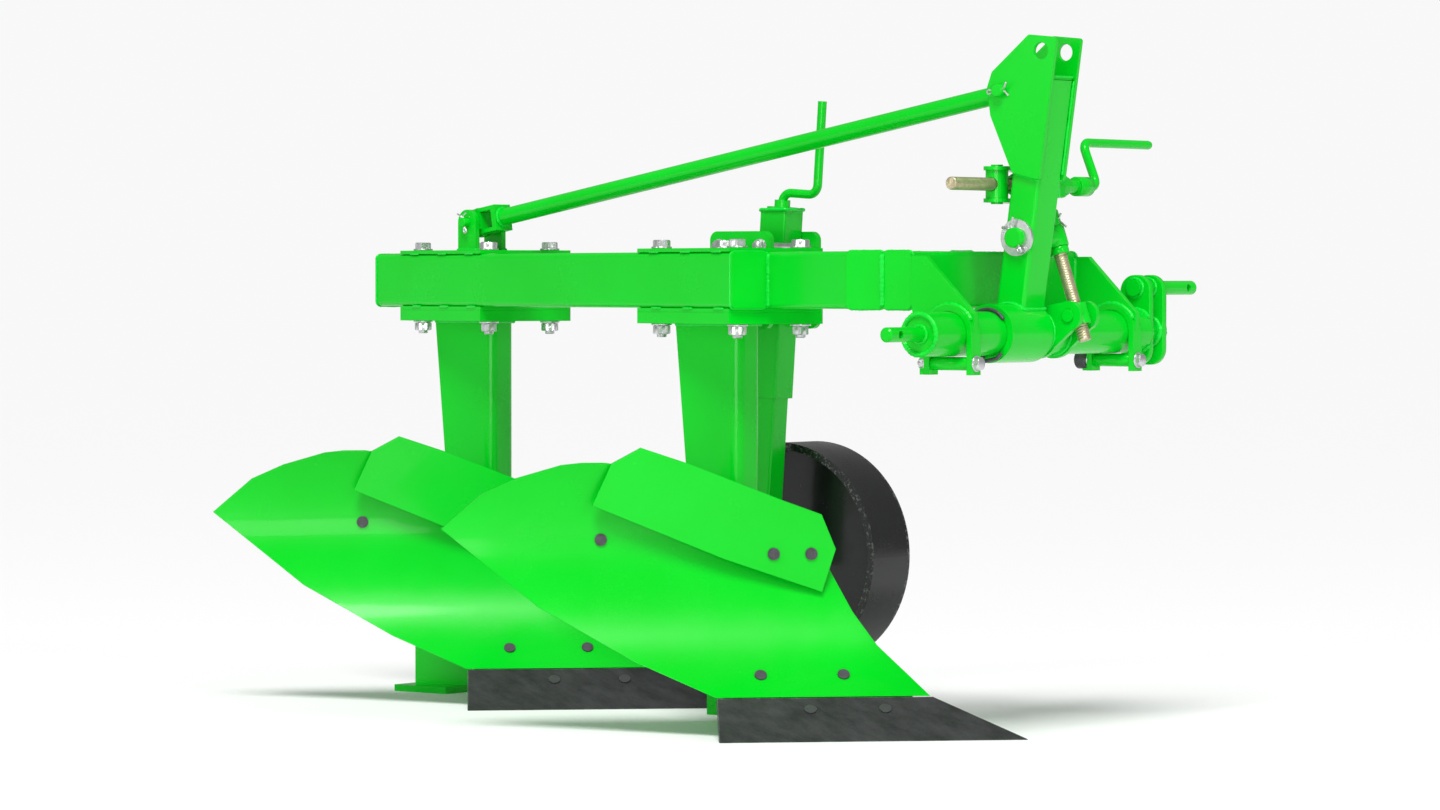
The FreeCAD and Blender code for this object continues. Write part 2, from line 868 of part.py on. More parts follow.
def mouldboard(prefix, p):
    """The curved sheet that turns the furrow."""
    solid = board_solid()
    radius = float(size.board_bolt + size.bolt_play) / 2
    for along, lift in board_bolt_places() + [brace_bolt_place()]:
        solid = solid.cut(face_bore(along, lift, radius))
    for along, lift in trash_bolt_places():
        solid = solid.cut(trash_bore(along, lift))
    return feature(solid, prefix + "_mouldboard", body_placement(p))


SHARE_SHARES = [
    (-0.495, 0.0), (0.32, 0.0), (0.45, -0.03), (0.9, -0.03), (0.935, 0.02), (0.535, 1.0), (-0.475, 1.0),
]


def share(prefix, p):
    """The hard share: an inclined plate with a bevelled edge and a drawn-out point."""
    slope = math.radians(float(size.share_slope_angle))
    rise = float(size.share_height) - float(size.joint_gap)
    thick = float(size.share_thickness)
    run = Vector(0, math.cos(slope), math.sin(slope))
    back = Vector(0, math.sin(slope), -math.cos(slope))
    length = float(size.share_length)
    reach = rise / math.sin(slope)
    corners = [run * (reach * b) + Vector(length * a, 0, 0) for a, b in SHARE_SHARES]
    blank = Part.Face(Part.makePolygon(corners + corners[:1])).extrude(back * thick)
    ground = Part.makeBox(length * 3, length * 2, length, Vector(-length * 1.5, -length, -length))
    solid = blank.cut(ground)
    radius = float(size.board_bolt + size.bolt_play) / 2
    for along in share_bolt_places():
        solid = solid.cut(face_bore(along, share_bolt_lift(), radius))
    return feature(solid, prefix + "_share", body_placement(p))


def share_bolt_places():
    """Where the share's two bolts sit along the edge."""
    length = float(size.share_length)
    return [-length * float(size.share_bolt_back_share), length * float(size.share_bolt_ahead_share)]


def share_bolt_lift():
    """Height of the share's bolts on the face."""
    return float(size.share_height * size.share_bolt_lift_share)


def plough_bolt(start, inward, grip):
    """A low-headed bolt from a point on the face: head outside, nut behind the grip."""
    radius = float(size.board_bolt) / 2
    seat = start - inward * float(size.face_gap)
    head_height = radius * float(size.low_head_share)
    head = Part.makeCylinder(radius * float(size.low_head_out_share), head_height, seat, -inward)
    nut_height = radius * float(size.low_nut_share)
    stem = Part.makeCylinder(radius, grip + nut_height + radius, seat, inward)
    nut = Part.makeCylinder(radius * float(size.low_nut_out_share), nut_height, start + inward * grip, inward)
    return head.fuse([stem, nut])


def face_bolt(along, lift, grip):
    """A plough bolt square to the working face."""
    return plough_bolt(Vector(along, face_point(lift), lift), face_normal(lift), grip)


def seat_solid():
    """The frog's seat behind share and mouldboard: it follows both back faces."""
    slope = math.radians(float(size.share_slope_angle))
    half = float(size.seat_length) / 2
    front = face_radius() + float(size.board_thickness)
    back = front + float(size.seat_thickness)
    high = math.acos(math.cos(slope) - float(size.seat_rise) / face_radius())
    curved = hollow_sheet(front, back, slope, high, -half, half)
    run = Vector(0, math.cos(slope), math.sin(slope))
    normal = Vector(0, math.sin(slope), -math.cos(slope))
    top = run * (float(size.share_height) / math.sin(slope)) + Vector(-half, 0, 0)
    drop = float(size.share_height * size.seat_drop_share) / math.sin(slope)
    inner = top + normal * float(size.share_thickness)
    outer = top + normal * (float(size.board_thickness) + float(size.seat_thickness))
    corners = [inner, outer, outer - run * drop, inner - run * drop]
    lower = Part.Face(Part.makePolygon(corners + corners[:1])).extrude(Vector(half * 2, 0, 0))
    return curved.fuse(lower)


def side_box(x, y, z, length, width, height, p):
    """A world-aligned block, given from the leg's axis, in the frame of its plough bottom."""
    leg_x, leg_y = along_beam(p, 0)
    block = Part.makeBox(float(length), float(width), float(height))
    block.Placement = at(leg_x + float(x), leg_y + float(y), z)
    block.Placement = body_placement(p).inverse().multiply(block.Placement)
    return block


def frog(prefix, p):
    """The frog: seat, land-side plate and web, which carry share, mouldboard and landside."""
    solid = seat_solid()
    thick = size.frog_thickness
    rear = -size.leg_low_rear
    ahead = size.share_ahead - size.share_side * size.frog_side_share
    side = side_box(rear, size.leg_thickness / 2, size.landside_lift, ahead - rear, thick,
                    size.frog_height, p)
    behind = outline_behind(size.board_thickness)
    side = side.common(behind)
    foot = side_box(rear, -size.leg_thickness / 2, size.leg_foot - thick,
                    size.leg_front - rear, size.leg_thickness, thick, p)
    solid = solid.fuse([side, foot.common(behind)])
    radius = float(size.board_bolt + size.bolt_play) / 2
    for along, lift in board_bolt_places():
        solid = solid.cut(face_bore(along, lift, radius))
    for along in share_bolt_places():
        solid = solid.cut(face_bore(along, share_bolt_lift(), radius))
    return feature(solid, prefix + "_frog", body_placement(p))


def outline_behind(standoff):
    """All the room behind the working face's back, as a prism along the edge."""
    slope = math.radians(float(size.share_slope_angle))
    lean = math.radians(float(size.board_lean_angle))
    radius = face_radius() + float(standoff)
    reach = float(size.board_length) * 2

    def place(angle):
        depth, lift = profile_point(angle, radius)
        return Vector(-reach, depth, lift)

    low = place(slope)
    high = place(lean)
    arc = Part.Arc(low, place((slope + lean) / 2), high).toShape()
    down = Vector(0, -math.cos(slope), -math.sin(slope)) * reach
    drop = float(size.share_thickness) - float(standoff)
    step = Vector(0, math.sin(slope), -math.cos(slope)) * drop
    toe = low + step + down
    back_low = Vector(-reach, reach, toe.z)
    back_high = Vector(-reach, reach, high.z)
    edges = [arc, Part.makeLine(high, back_high), Part.makeLine(back_high, back_low),
             Part.makeLine(back_low, toe), Part.makeLine(toe, low + step), Part.makeLine(low + step, low)]
    return Part.Face(Part.Wire(edges)).extrude(Vector(reach * 2, 0, 0))


def landside(prefix, p):
    """The long bar that bears on the furrow wall, with its sole at the rear."""
    front = size.share_ahead - size.share_side * size.landside_side_share
    start = front - size.landside_length
    inner = size.leg_thickness / 2 + size.frog_thickness
    bar = side_box(start, inner, size.landside_lift, size.landside_length,
                   size.landside_thickness, size.landside_height, p)
    sole = side_box(start, inner + size.landside_thickness - size.sole_width,
                    size.landside_lift - size.sole_thickness, size.sole_length, size.sole_width,
                    size.sole_thickness, p)
    return feature(bar.fuse(sole), prefix + "_landside", body_placement(p))


TRASH_SHARES = [
    (-1.0, 0.604), (-0.922, 0.892), (-0.802, 1.0), (-0.61, 0.892), (-0.212, 0.63),
    (-0.059, 0.536), (0.0, 0.297), (-0.056, 0.0), (-0.463, 0.234),
]


def trash_back_depth(lift):
    """Distance behind the edge of the trash board's flat back at a height."""
    low = float(size.trash_bottom)
    high = float(size.board_height)
    share_up = (lift - low) / (high - low)
    start = face_point(low)
    return start + (face_point(high) - start) * share_up - float(size.face_gap)


def trash_normal():
    """Unit vector out of the trash board's front."""
    low = float(size.trash_bottom)
    high = float(size.board_height)
    return Vector(0, low - high, trash_back_depth(high) - trash_back_depth(low)).normalize()


def trash_bore(along, lift):
    """A drill square to the trash board."""
    reach = float(size.trash_thickness) * 8
    start = Vector(along, trash_back_depth(lift), lift) + trash_normal() * reach
    return Part.makeCylinder(float(size.board_bolt + size.bolt_play) / 2, reach * 2, start, -trash_normal())


def trash_board(prefix, p):
    """The flat deflector bolted in front of the mouldboard's top."""
    low = float(size.trash_bottom)
    high = low + float(size.trash_height)
    up = Vector(0, trash_back_depth(high) - trash_back_depth(low), high - low)
    origin = Vector(float(size.trash_front), trash_back_depth(low), low)
    length = float(size.trash_length)
    corners = [origin + Vector(length * a, 0, 0) + up * b for a, b in TRASH_SHARES]
    ahead = trash_normal() * float(size.trash_thickness)
    solid = Part.Face(Part.makePolygon(corners + corners[:1])).extrude(ahead)
    for along, lift in trash_bolt_places():
        solid = solid.cut(trash_bore(along, lift))
    return feature(solid, prefix + "_trash_board", body_placement(p))


def plough_bolts(prefix, p):
    """The bolts of one plough bottom."""
    seat = float(size.seat_thickness)
    board = float(size.board_thickness)
    clear = float(size.nut_clear)
    bolts = [face_bolt(along, lift, board + seat) for along, lift in board_bolt_places()]
    bolts += [face_bolt(along, share_bolt_lift(), board + seat) for along in share_bolt_places()]
    along, lift = brace_bolt_place()
    bolts.append(face_bolt(along, lift, board + float(size.face_gap + size.lug_thickness)))
    ahead = trash_normal()
    for along, lift in trash_bolt_places():
        front = Vector(along, trash_back_depth(lift), lift) + ahead * float(size.trash_thickness)
        chord = (face_point(lift) - trash_back_depth(lift)) * abs(ahead.y)
        bolts.append(plough_bolt(front, -ahead, float(size.trash_thickness) + chord + board + clear))
    return feature(Part.makeCompound(bolts), prefix + "_plough_bolts", body_placement(p))


def plough_bottom(prefix, flange):
    """Everything that hangs from one flange."""
    p = size.body_spacing * flange
    flange_set(prefix, p)
    leg(prefix, p)
    frog(prefix, p)
    share(prefix, p)
    mouldboard(prefix, p)
    landside(prefix, p)
    trash_board(prefix, p)
    plough_bolts(prefix, p)


# Turns that lay a piece's own Z along Y: with its X up, or its X forward
CRANK_UP = Rotation(Y_AXIS, Z_AXIS, X_AXIS, "ZXY")
CRANK_AHEAD = Rotation(Z_AXIS, X_AXIS, Y_AXIS, "ZXY")
MAST_TURN = Rotation(Y_AXIS, VALUES["mast_lean_angle"])
COLUMN_TURN = Rotation(Y_AXIS, VALUES["column_lean_angle"])
bearing_radius = size.shaft_radius + size.bearing_play


def pear(large, small, distance, thickness, bores):
    """A flat lever: a large round end at the origin, a small one along +X, and round bores."""
    waist = plate([(0, -large), (distance, -small), (distance, small), (0, large)], thickness)
    blank = fuse(rod(large, thickness), rod(small, thickness, at(distance)), waist)
    drills = [rod(radius, thickness + size.overrun * 2, at(x, 0, -size.overrun)) for x, radius in bores]
    return cut(blank, *drills)


def cone(low, high, height, place):
    """A round taper that rises from its own origin."""
    taper = doc.addObject("Part::Cone", "Taper")
    bind(taper, "Radius1", low)
    bind(taper, "Radius2", high)
    bind(taper, "Height", height)
    taper.Placement = place
    return taper


def crank(lead, arm, handle):
    """A crank bent from round bar: lead along +X, arm along +Y, handle along +X again."""
    bend = size.crank_bend
    first = rod(size.crank_bar, lead, at(turn=ALONG_X))
    low = torus_quarter(at(lead, bend, 0, turned(-90)))
    middle = rod(size.crank_bar, arm, at(lead + bend, bend, 0, ALONG_Y))
    high = torus_quarter(at(lead + bend * 2, bend + arm, 0, turned(90)))
    last = rod(size.crank_bar, handle, at(lead + bend * 2, bend * 2 + arm, 0, ALONG_X))
    return fuse(first, low, middle, high, last)


def torus_quarter(place):
    """A quarter bend of crank bar."""
    ring = doc.addObject("Part::Torus", "Bend")
    bind(ring, "Radius1", size.crank_bend)
    bind(ring, "Radius2", size.crank_bar)
    ring.Angle3 = 90
    ring.Placement = place
    return ring


def gusset(label, y):
    """A side plate of the frame with its strap: an upturned U that rides on the cross shaft."""
    top = beam_top - size.beam_corner - size.shaft_height
    low = size.beam_bottom + size.beam_corner - size.shaft_height
    outer = bearing_radius + size.strap_thickness
    rear = -(outer + size.gusset_lug)
    outline = [
        (size.head_front, top),
        (size.head_front, low),
        (rear, -size.strap_drop / 2),
        (rear, -size.strap_drop),
        (outer, -size.strap_drop),
        (outer, size.gusset_shoulder - size.shaft_height),
        (size.head_front + size.gusset_top_depth, top),
    ]
    side = plate(outline, size.gusset_thickness)
    side.Placement = at(0, size.gusset_thickness / 2, 0, STANDING)
    half = size.strap_width / 2
    band = rod(outer, size.strap_width, at(0, -half, 0, ALONG_Y))
    legs = box(outer * 2, size.strap_width, size.strap_drop, at(-outer, -half, -size.strap_drop))
    reach = size.strap_width + size.overrun * 2
    start = -half - size.overrun
    bore = rod(bearing_radius, reach, at(0, start, 0, ALONG_Y))
    slot = box(bearing_radius * 2, reach, size.strap_drop + size.overrun)
    slot.Placement = at(-bearing_radius, start, -(size.strap_drop + size.overrun))
    drill = rod((size.keeper_bolt + size.bolt_play) / 2, outer * 4, at(-outer * 2, 0, keeper_drop, ALONG_X))
    whole = cut(fuse(side, band, legs), bore, slot, drill)
    return node(whole, label, at(0, y, size.shaft_height))


keeper_drop = -(size.shaft_radius + size.keeper_spacer + size.bearing_play)


def keeper(label, y):
    """The bolt and spacer that close the strap below the shaft."""
    outer = bearing_radius + size.strap_thickness
    span = bearing_radius * 2
    spacer = round_tube(size.keeper_spacer, size.keeper_bolt / 2, span - size.running_play * 2)
    spacer.Placement = at(-bearing_radius + size.running_play, 0, 0, ALONG_X)
    rear = outer + size.gusset_lug
    fixing = bolt(size.keeper_bolt, outer + rear, at(outer, 0, 0, Rotation(Y_AXIS, -90)))
    return node(group(spacer, fixing), label, at(0, y, size.shaft_height + keeper_drop))


def shaft_bearings():
    """Gussets and keepers at both ends of the head member."""
    middle = size.gusset_thickness / 2
    gusset("near_gusset", size.frame_near + middle)
    gusset("far_gusset", size.frame_far - middle)
    keeper("near_keeper", size.frame_near + middle)
    keeper("far_keeper", size.frame_far - middle)


def cross_shaft():
    """The cross shaft, its plugged ends, the near hitch pin and the stub that carries the crank arms."""
    length = size.shaft_near + size.shaft_far
    inside = size.shaft_radius - size.shaft_wall
    tube = round_tube(size.shaft_radius, inside, length)
    tube.Placement = at(z=-length)
    near_plug = rod(inside, size.plug_length, at(z=-size.plug_length))
    far_plug = rod(inside, size.plug_length, at(z=-length))
    stub_length = size.arm_thickness * 2 + size.arm_gap
    stub = rod(size.arm_stub, stub_length, at(z=-(length + stub_length)))
    pin = hitch_pin(size.pin_near_reach)
    whole = fuse(tube, near_plug, far_plug, stub, pin)
    return node(whole, "cross_shaft", at(0, -size.shaft_near, size.shaft_height, STANDING))


def hitch_pin(reach):
    """A round pin with a chamfered tip and the hole for its linch pin."""
    straight = reach - size.pin_chamfer
    pin = rod(size.pin_radius, straight)
    tip = cone(size.pin_radius, size.pin_radius - size.pin_chamfer, size.pin_chamfer, at(z=straight))
    hole = rod(size.pin_radius * size.link_hole_share, size.pin_radius * 4)
    hole.Placement = at(-size.pin_radius * 2, 0, straight - size.pin_radius * 2, ALONG_X)
    return cut(fuse(pin, tip), hole)


def far_hitch():
    """Two crank arms on the far end and the raised hitch pin through them."""
    height = size.arm_below + size.arm_offset + size.arm_above
    outline = rectangle(size.arm_width, height, -size.arm_width / 2, -size.arm_below)
    holes = [(0, 0, size.arm_stub), (0, size.arm_offset, size.pin_shank)]
    arms = []
    for y in (size.arm_thickness, size.arm_thickness * 2 + size.arm_gap):
        arm = plate(outline, size.arm_thickness, holes, outline, size.arm_corner)
        arm.Placement = at(0, y, 0, STANDING)
        arms.append(arm)
    node(group(*arms), "crank_arms", at(0, size.shaft_far, size.shaft_height))
    shank_length = size.pin_head + size.arm_thickness * 2 + size.arm_gap
    shank = rod(size.pin_shank, shank_length)
    pin = hitch_pin(size.pin_far_reach)
    pin.Placement = at(z=shank_length)
    place = at(0, size.shaft_far - size.pin_head, size.shaft_height + size.arm_offset, ALONG_Y)
    node(fuse(shank, pin), "far_hitch_pin", place)


def retaining_ring():
    """The open ring that keeps the mast's sleeve on the shaft."""
    outer = size.shaft_radius + size.ring_section
    ring = round_tube(outer, size.shaft_radius, size.ring_section)
    gap = box(size.ring_section, outer, size.ring_section * 2)
    gap.Placement = at(-size.ring_section / 2, 0, -size.ring_section / 2)
    y = size.mast_y - size.sleeve_near - size.face_gap - size.ring_section
    return node(cut(ring, gap), "retaining_ring", at(0, y, size.shaft_height, ALONG_Y))


def screw_ears():
    """Two ears on the shaft that carry the levelling screw's lower nut."""
    distance = (size.tilt_pin_x * size.tilt_pin_x + size.tilt_pin_rise * size.tilt_pin_rise).root()
    slope = math.atan2(float(size.tilt_pin_rise), float(size.tilt_pin_x))
    ahead = Vector(math.cos(slope), 0, math.sin(slope))
    aside = Vector(math.sin(slope), 0, -math.cos(slope))
    turn = Rotation(ahead, aside, Y_AXIS, "ZXY")
    collar = size.shaft_radius + size.ring_section
    bores = [(0, size.shaft_radius), (distance, size.tilt_pivot + size.running_play)]
    near = size.tilt_y - size.tilt_ear_gap / 2 - size.tilt_ear_thickness
    for label, y in (("near_screw_ear", near), ("far_screw_ear", size.tilt_y + size.tilt_ear_gap / 2)):
        ear = pear(collar, size.tilt_ear_radius, distance, size.tilt_ear_thickness, bores)
        node(ear, label, at(0, y, size.shaft_height, turn))


def mast_x(height):
    """Where the mast's axis is at a height."""
    rise = float(height) - float(size.shaft_height)
    return float(size.mast_foot_x) + rise * math.tan(math.radians(float(size.mast_lean_angle)))


def mast():
    """The leaning mast tube on its sleeve, with the bores for its two pins."""
    length = (size.mast_top - size.shaft_height) / math.cos(math.radians(VALUES["mast_lean_angle"]))
    tube = box_tube(size.mast_depth, size.mast_width, size.mast_wall, length, size.mast_corner)
    tube.Placement = at(size.mast_foot_x, size.mast_y, size.shaft_height, MAST_TURN)
    reach = size.mast_width * 4
    cope = rod(size.sleeve_radius, reach, at(0, size.mast_y - reach / 2, size.shaft_height, ALONG_Y))
    drill = rod(size.mast_pin + size.running_play, reach)
    drill.Placement = at(mast_pin_x(), size.mast_y - reach / 2, mast_pin_height, ALONG_Y)
    node(cut(tube, cope, drill), "mast_tube")
    sleeve = round_tube(size.sleeve_radius, bearing_radius, size.sleeve_near + size.sleeve_far)
    node(sleeve, "mast_sleeve", at(0, size.mast_y - size.sleeve_near, size.shaft_height, ALONG_Y))


def mast_pin_x():
    """The mast pin sits on the mast's axis."""
    return mast_x(mast_pin_height)


CHEEK_SHARES = [
    (0.069, 0.75), (0.0, 0.644), (0.048, 0.449), (0.363, 0.051), (0.75, 0.0), (1.0, 0.977), (0.597, 1.0),
]


def cheeks():
    """Two side plates on the mast's head with the top-link holes."""
    outline = [(size.cheek_depth * a - size.cheek_rear, size.cheek_height * b) for a, b in CHEEK_SHARES]
    holes = [(size.top_hole_x, size.top_hole_z - size.cheek_bottom, size.top_hole),
             (size.stay_pin_x, size.stay_pin_z - size.cheek_bottom, size.stay_pin)]
    near = size.mast_y - size.mast_width / 2
    far = size.mast_y + size.mast_width / 2 + size.cheek_thickness
    for label, y in (("near_cheek", near), ("far_cheek", far)):
        cheek = plate(outline, size.cheek_thickness, holes, outline, size.cheek_corner)
        node(cheek, label, at(0, y, size.cheek_bottom, STANDING))


def stay_pin():
    """The headed pin through both cheeks that holds the stay's eye."""
    reach = size.mast_width + size.cheek_thickness * 2
    head = size.stay_pin * size.stay_pin_head_share
    tail = size.stay_pin + size.cotter * 2
    stem = rod(size.stay_pin, reach + tail)
    cap = rod(size.stay_pin + size.overrun, head, at(z=-head))
    split = rod(size.cotter, size.stay_pin * 4)
    split.Placement = at(-size.stay_pin * 2, 0, reach + tail / 2, ALONG_X)
    y = size.mast_y - size.mast_width / 2 - size.cheek_thickness
    node(fuse(stem, cap, split), "stay_pin", at(size.stay_pin_x, y, size.stay_pin_z, ALONG_Y))


def tilt_direction():
    """Unit vector down the levelling screw, and the turn that lays Z along it."""
    ahead = float(size.tilt_pin_x) - mast_pin_x()
    drop = float(mast_pin_height) - float(size.shaft_height) - float(size.tilt_pin_rise)
    down = Vector(ahead, 0, -drop).normalize()
    return down, Rotation(Z_AXIS, down), math.hypot(ahead, drop)


def trunnion():
    """The mast pin, which ends in the upper boss of the levelling screw and turns in the mast."""
    down, turn, distance = tilt_direction()
    boss_near = size.tilt_y - size.mast_y
    washer_place = size.mast_width / 2 + size.running_play
    tail = size.mast_washer_thickness + size.cotter * 4
    pin = rod(size.mast_pin, boss_near + washer_place + tail, at(0, -(washer_place + tail), 0, ALONG_Y))
    boss = rod(size.tilt_boss_radius, size.tilt_boss_height)
    centre = Placement(Vector(0, float(boss_near), 0), turn)
    boss.Placement = centre.multiply(at(z=-size.tilt_boss_height / 2))
    bore = rod(size.tilt_screw + size.running_play, size.tilt_boss_height * 3)
    bore.Placement = centre.multiply(at(z=-size.tilt_boss_height * 1.5))
    split = rod(size.cotter, size.mast_washer * 2)
    split.Placement = at(0, -(washer_place + tail - size.cotter * 2), -size.mast_washer)
    place = at(mast_pin_x(), size.mast_y, mast_pin_height)
    node(cut(fuse(pin, boss, split), bore), "mast_pin", place)
    disc = washer(size.mast_washer, size.mast_pin, size.mast_washer_thickness, at())
    y = size.mast_y - washer_place - size.mast_washer_thickness
    node(disc, "mast_washer", at(mast_pin_x(), y, mast_pin_height, ALONG_Y))


def tilt_screw():
    """The levelling screw with a collar either side of its boss and a pinned head."""
    down, turn, distance = tilt_direction()
    half = size.tilt_boss_height / 2 + size.running_play
    top = half + size.tilt_head + size.overrun
    stem = rod(size.tilt_screw, top + distance + size.tilt_tail, at(z=-top))
    head = rod(size.collar_radius, size.tilt_head, at(z=-(half + size.tilt_head)))
    collar = rod(size.collar_radius, size.collar_length, at(z=half))
    split = rod(size.cotter, size.collar_radius * 3)
    split.Placement = at(-size.collar_radius * 1.5, 0, -(half + size.tilt_head / 2), ALONG_X)
    place = Placement(Vector(mast_pin_x(), float(size.tilt_y), float(mast_pin_height)), turn)
    node(fuse(stem, head, collar, split), "tilt_screw", place)


def tilt_nut():
    """The trunnion nut between the ears on the shaft."""
    down, turn, distance = tilt_direction()
    block = rod(size.tilt_nut_radius, size.tilt_nut_height)
    block.Placement = Placement(Vector(0, 0, 0), turn).multiply(at(z=-size.tilt_nut_height / 2))
    reach = size.tilt_ear_gap + size.tilt_ear_thickness * 2 + size.cotter * 2
    pivot = rod(size.tilt_pivot, reach, at(0, -reach / 2, 0, ALONG_Y))
    bore = rod(size.tilt_screw + size.tilt_play, size.tilt_nut_height * 2)
    bore.Placement = Placement(Vector(0, 0, 0), turn).multiply(at(z=-size.tilt_nut_height))
    place = at(size.tilt_pin_x, size.tilt_y, size.shaft_height + size.tilt_pin_rise)
    node(cut(fuse(block, pivot), bore), "tilt_nut", place)


def shift_clevis():
    """The post on the head member and the two lips that reach from it to the side-shift nut."""
    post_x = size.head_front - size.head_depth / 2
    half = size.shift_nut_height / 2
    aside = size.clevis_post_y - size.shift_nut_y
    behind = size.shift_x - post_x
    reach = (aside * aside + behind * behind).root()
    turn = turned(math.degrees(math.atan2(float(aside), -float(behind))))
    drill = [(0, 0, size.shift_nut_pin)]
    lips = []
    for z in (-(half + size.clevis_thickness), half):
        length = reach + size.clevis_post / 2
        width = size.clevis_width
        outline = rectangle(length + width / 2, width, -width / 2, -width / 2)
        lip = plate(outline, size.clevis_thickness, drill, outline, width / 2 - size.face_gap)
        lip.Placement = at(0, 0, z, turn)
        lips.append(lip)
    height = size.shift_z + half - beam_top
    post = box(size.clevis_post, size.clevis_post, height)
    post.Placement = at(-(behind + size.clevis_post / 2), aside - size.clevis_post / 2, half - height)
    return node(fuse(post, *lips), "shift_clevis", at(size.shift_x, size.shift_nut_y, size.shift_z))


def shift_nut():
    """The nut on the side-shift screw: an upright barrel with a pin at each end."""
    half = size.shift_nut_height / 2
    barrel = rod(size.shift_nut_radius, size.shift_nut_height, at(z=-half))
    tail = size.clevis_thickness + size.cotter
    pin = rod(size.shift_nut_pin, size.shift_nut_height + tail * 2, at(z=-(half + tail)))
    bore = rod(size.shift_radius + size.face_gap, size.shift_nut_radius * 4)
    bore.Placement = at(0, -size.shift_nut_radius * 2, 0, ALONG_Y)
    node(cut(fuse(barrel, pin), bore), "shift_nut", at(size.shift_x, size.shift_nut_y, size.shift_z))


def shift_bearing():
    """The tube in which the side-shift screw turns, and the saddle that joins it to the mast's far side."""
    length = size.shift_bearing_length
    tube = round_tube(size.shift_bearing, size.shift_radius + size.running_play, length)
    tube.Placement = at(turn=ALONG_Y)
    ahead = mast_x(size.shift_z) - float(size.shift_x)
    web = box(ahead, size.shift_saddle, size.shift_bearing, at(0, 0, -size.shift_bearing))
    mast_far = size.mast_y + size.mast_width / 2
    step = size.shift_bearing_near - mast_far
    toe = box(size.shift_saddle, step, size.shift_bearing)
    toe.Placement = at(ahead - size.shift_saddle / 2, -step, -size.shift_bearing)
    bore = rod(size.shift_radius + size.running_play, length, at(turn=ALONG_Y))
    whole = cut(fuse(tube, web, toe), bore)
    return node(whole, "shift_bearing", at(size.shift_x, size.shift_bearing_near, size.shift_z))


def shift_screw():
    """The side-shift screw with its collars and crank."""
    near = size.shift_nut_y - size.shift_near - size.shift_bearing_near
    length = size.shift_bearing_length
    far = length + size.shift_boss_gap + size.shift_boss_length
    stem = rod(size.shift_radius, far - near, at(0, near, 0, ALONG_Y))
    inner = rod(size.collar_radius, size.collar_length)
    inner.Placement = at(0, -(size.running_play + size.collar_length), 0, ALONG_Y)
    outer = rod(size.collar_radius, size.collar_length, at(0, length + size.running_play, 0, ALONG_Y))
    boss = rod(size.collar_radius, size.shift_boss_length, at(0, length + size.shift_boss_gap, 0, ALONG_Y))
    handle = crank(size.shift_crank_reach, size.shift_crank_arm, size.shift_crank_handle)
    handle.Placement = at(0, far, 0, Rotation(Y_AXIS, VALUES["shift_crank_angle"]).multiply(CRANK_UP))
    place = at(size.shift_x, size.shift_bearing_near, size.shift_z)
    return node(fuse(stem, inner, outer, boss, handle), "shift_screw", place)


def stay_line():
    """Where the stay's rear joint is, its direction, and its length."""
    x, y = along_beam(size.stay_joint_p, size.stay_joint_side)
    joint = Vector(x, y, float(stay_joint_height))
    eye = Vector(float(size.stay_pin_x), float(size.mast_y), float(size.stay_pin_z))
    run = eye - joint
    return joint, run, run.Length


def stay_turn():
    """Turn that lays X along the stay and keeps Y level."""
    joint, run, length = stay_line()
    return Rotation(run, Vector(0, 0, 0), Z_AXIS, "XZY")


def stay_bracket():
    """Two ears on the rear top plate with the cross pin between them."""
    joint, run, length = stay_line()
    level = Rotation(Vector(run.x, run.y, 0), Vector(0, 0, 0), Z_AXIS, "XZY")
    seat = beam_top + size.plate_thickness
    rise = stay_joint_height - seat
    half = size.stay_ear_width / 2
    ears = []
    for side in (-1, 1):
        y = size.stay_ear_gap / 2 * side + size.stay_ear_thickness * (side - 1) / 2
        foot = box(size.stay_ear_width, size.stay_ear_thickness, rise, at(-half, y, -rise))
        crown = rod(half, size.stay_ear_thickness, at(0, y, 0, ALONG_Y))
        ears += [foot, crown]
    reach = size.stay_ear_gap + size.stay_ear_thickness * 4
    drill = rod(size.joint_pin, reach, at(0, -reach / 2, 0, ALONG_Y))
    node(cut(fuse(*ears), drill), "stay_bracket", Placement(joint, level))


def stay_cross():
    """The cross block: a level pin in the bracket's ears and an upright one for the fork."""
    joint, run, length = stay_line()
    half = size.stay_block_height / 2
    side = size.stay_ear_gap / 2 - size.face_gap
    block = box(size.stay_block_length, side * 2, size.stay_block_height)
    block.Placement = at(-size.stay_block_length / 2, -side, -half)
    reach = size.stay_ear_gap + size.stay_ear_thickness * 2 + size.cotter * 2
    level = rod(size.joint_pin, reach, at(0, -reach / 2, 0, ALONG_Y))
    tail = size.stay_fork_arm + size.cotter + size.face_gap
    upright = rod(size.joint_pin, (half + tail) * 2, at(z=-(half + tail)))
    node(fuse(block, level, upright), "stay_cross", Placement(joint, stay_turn()))


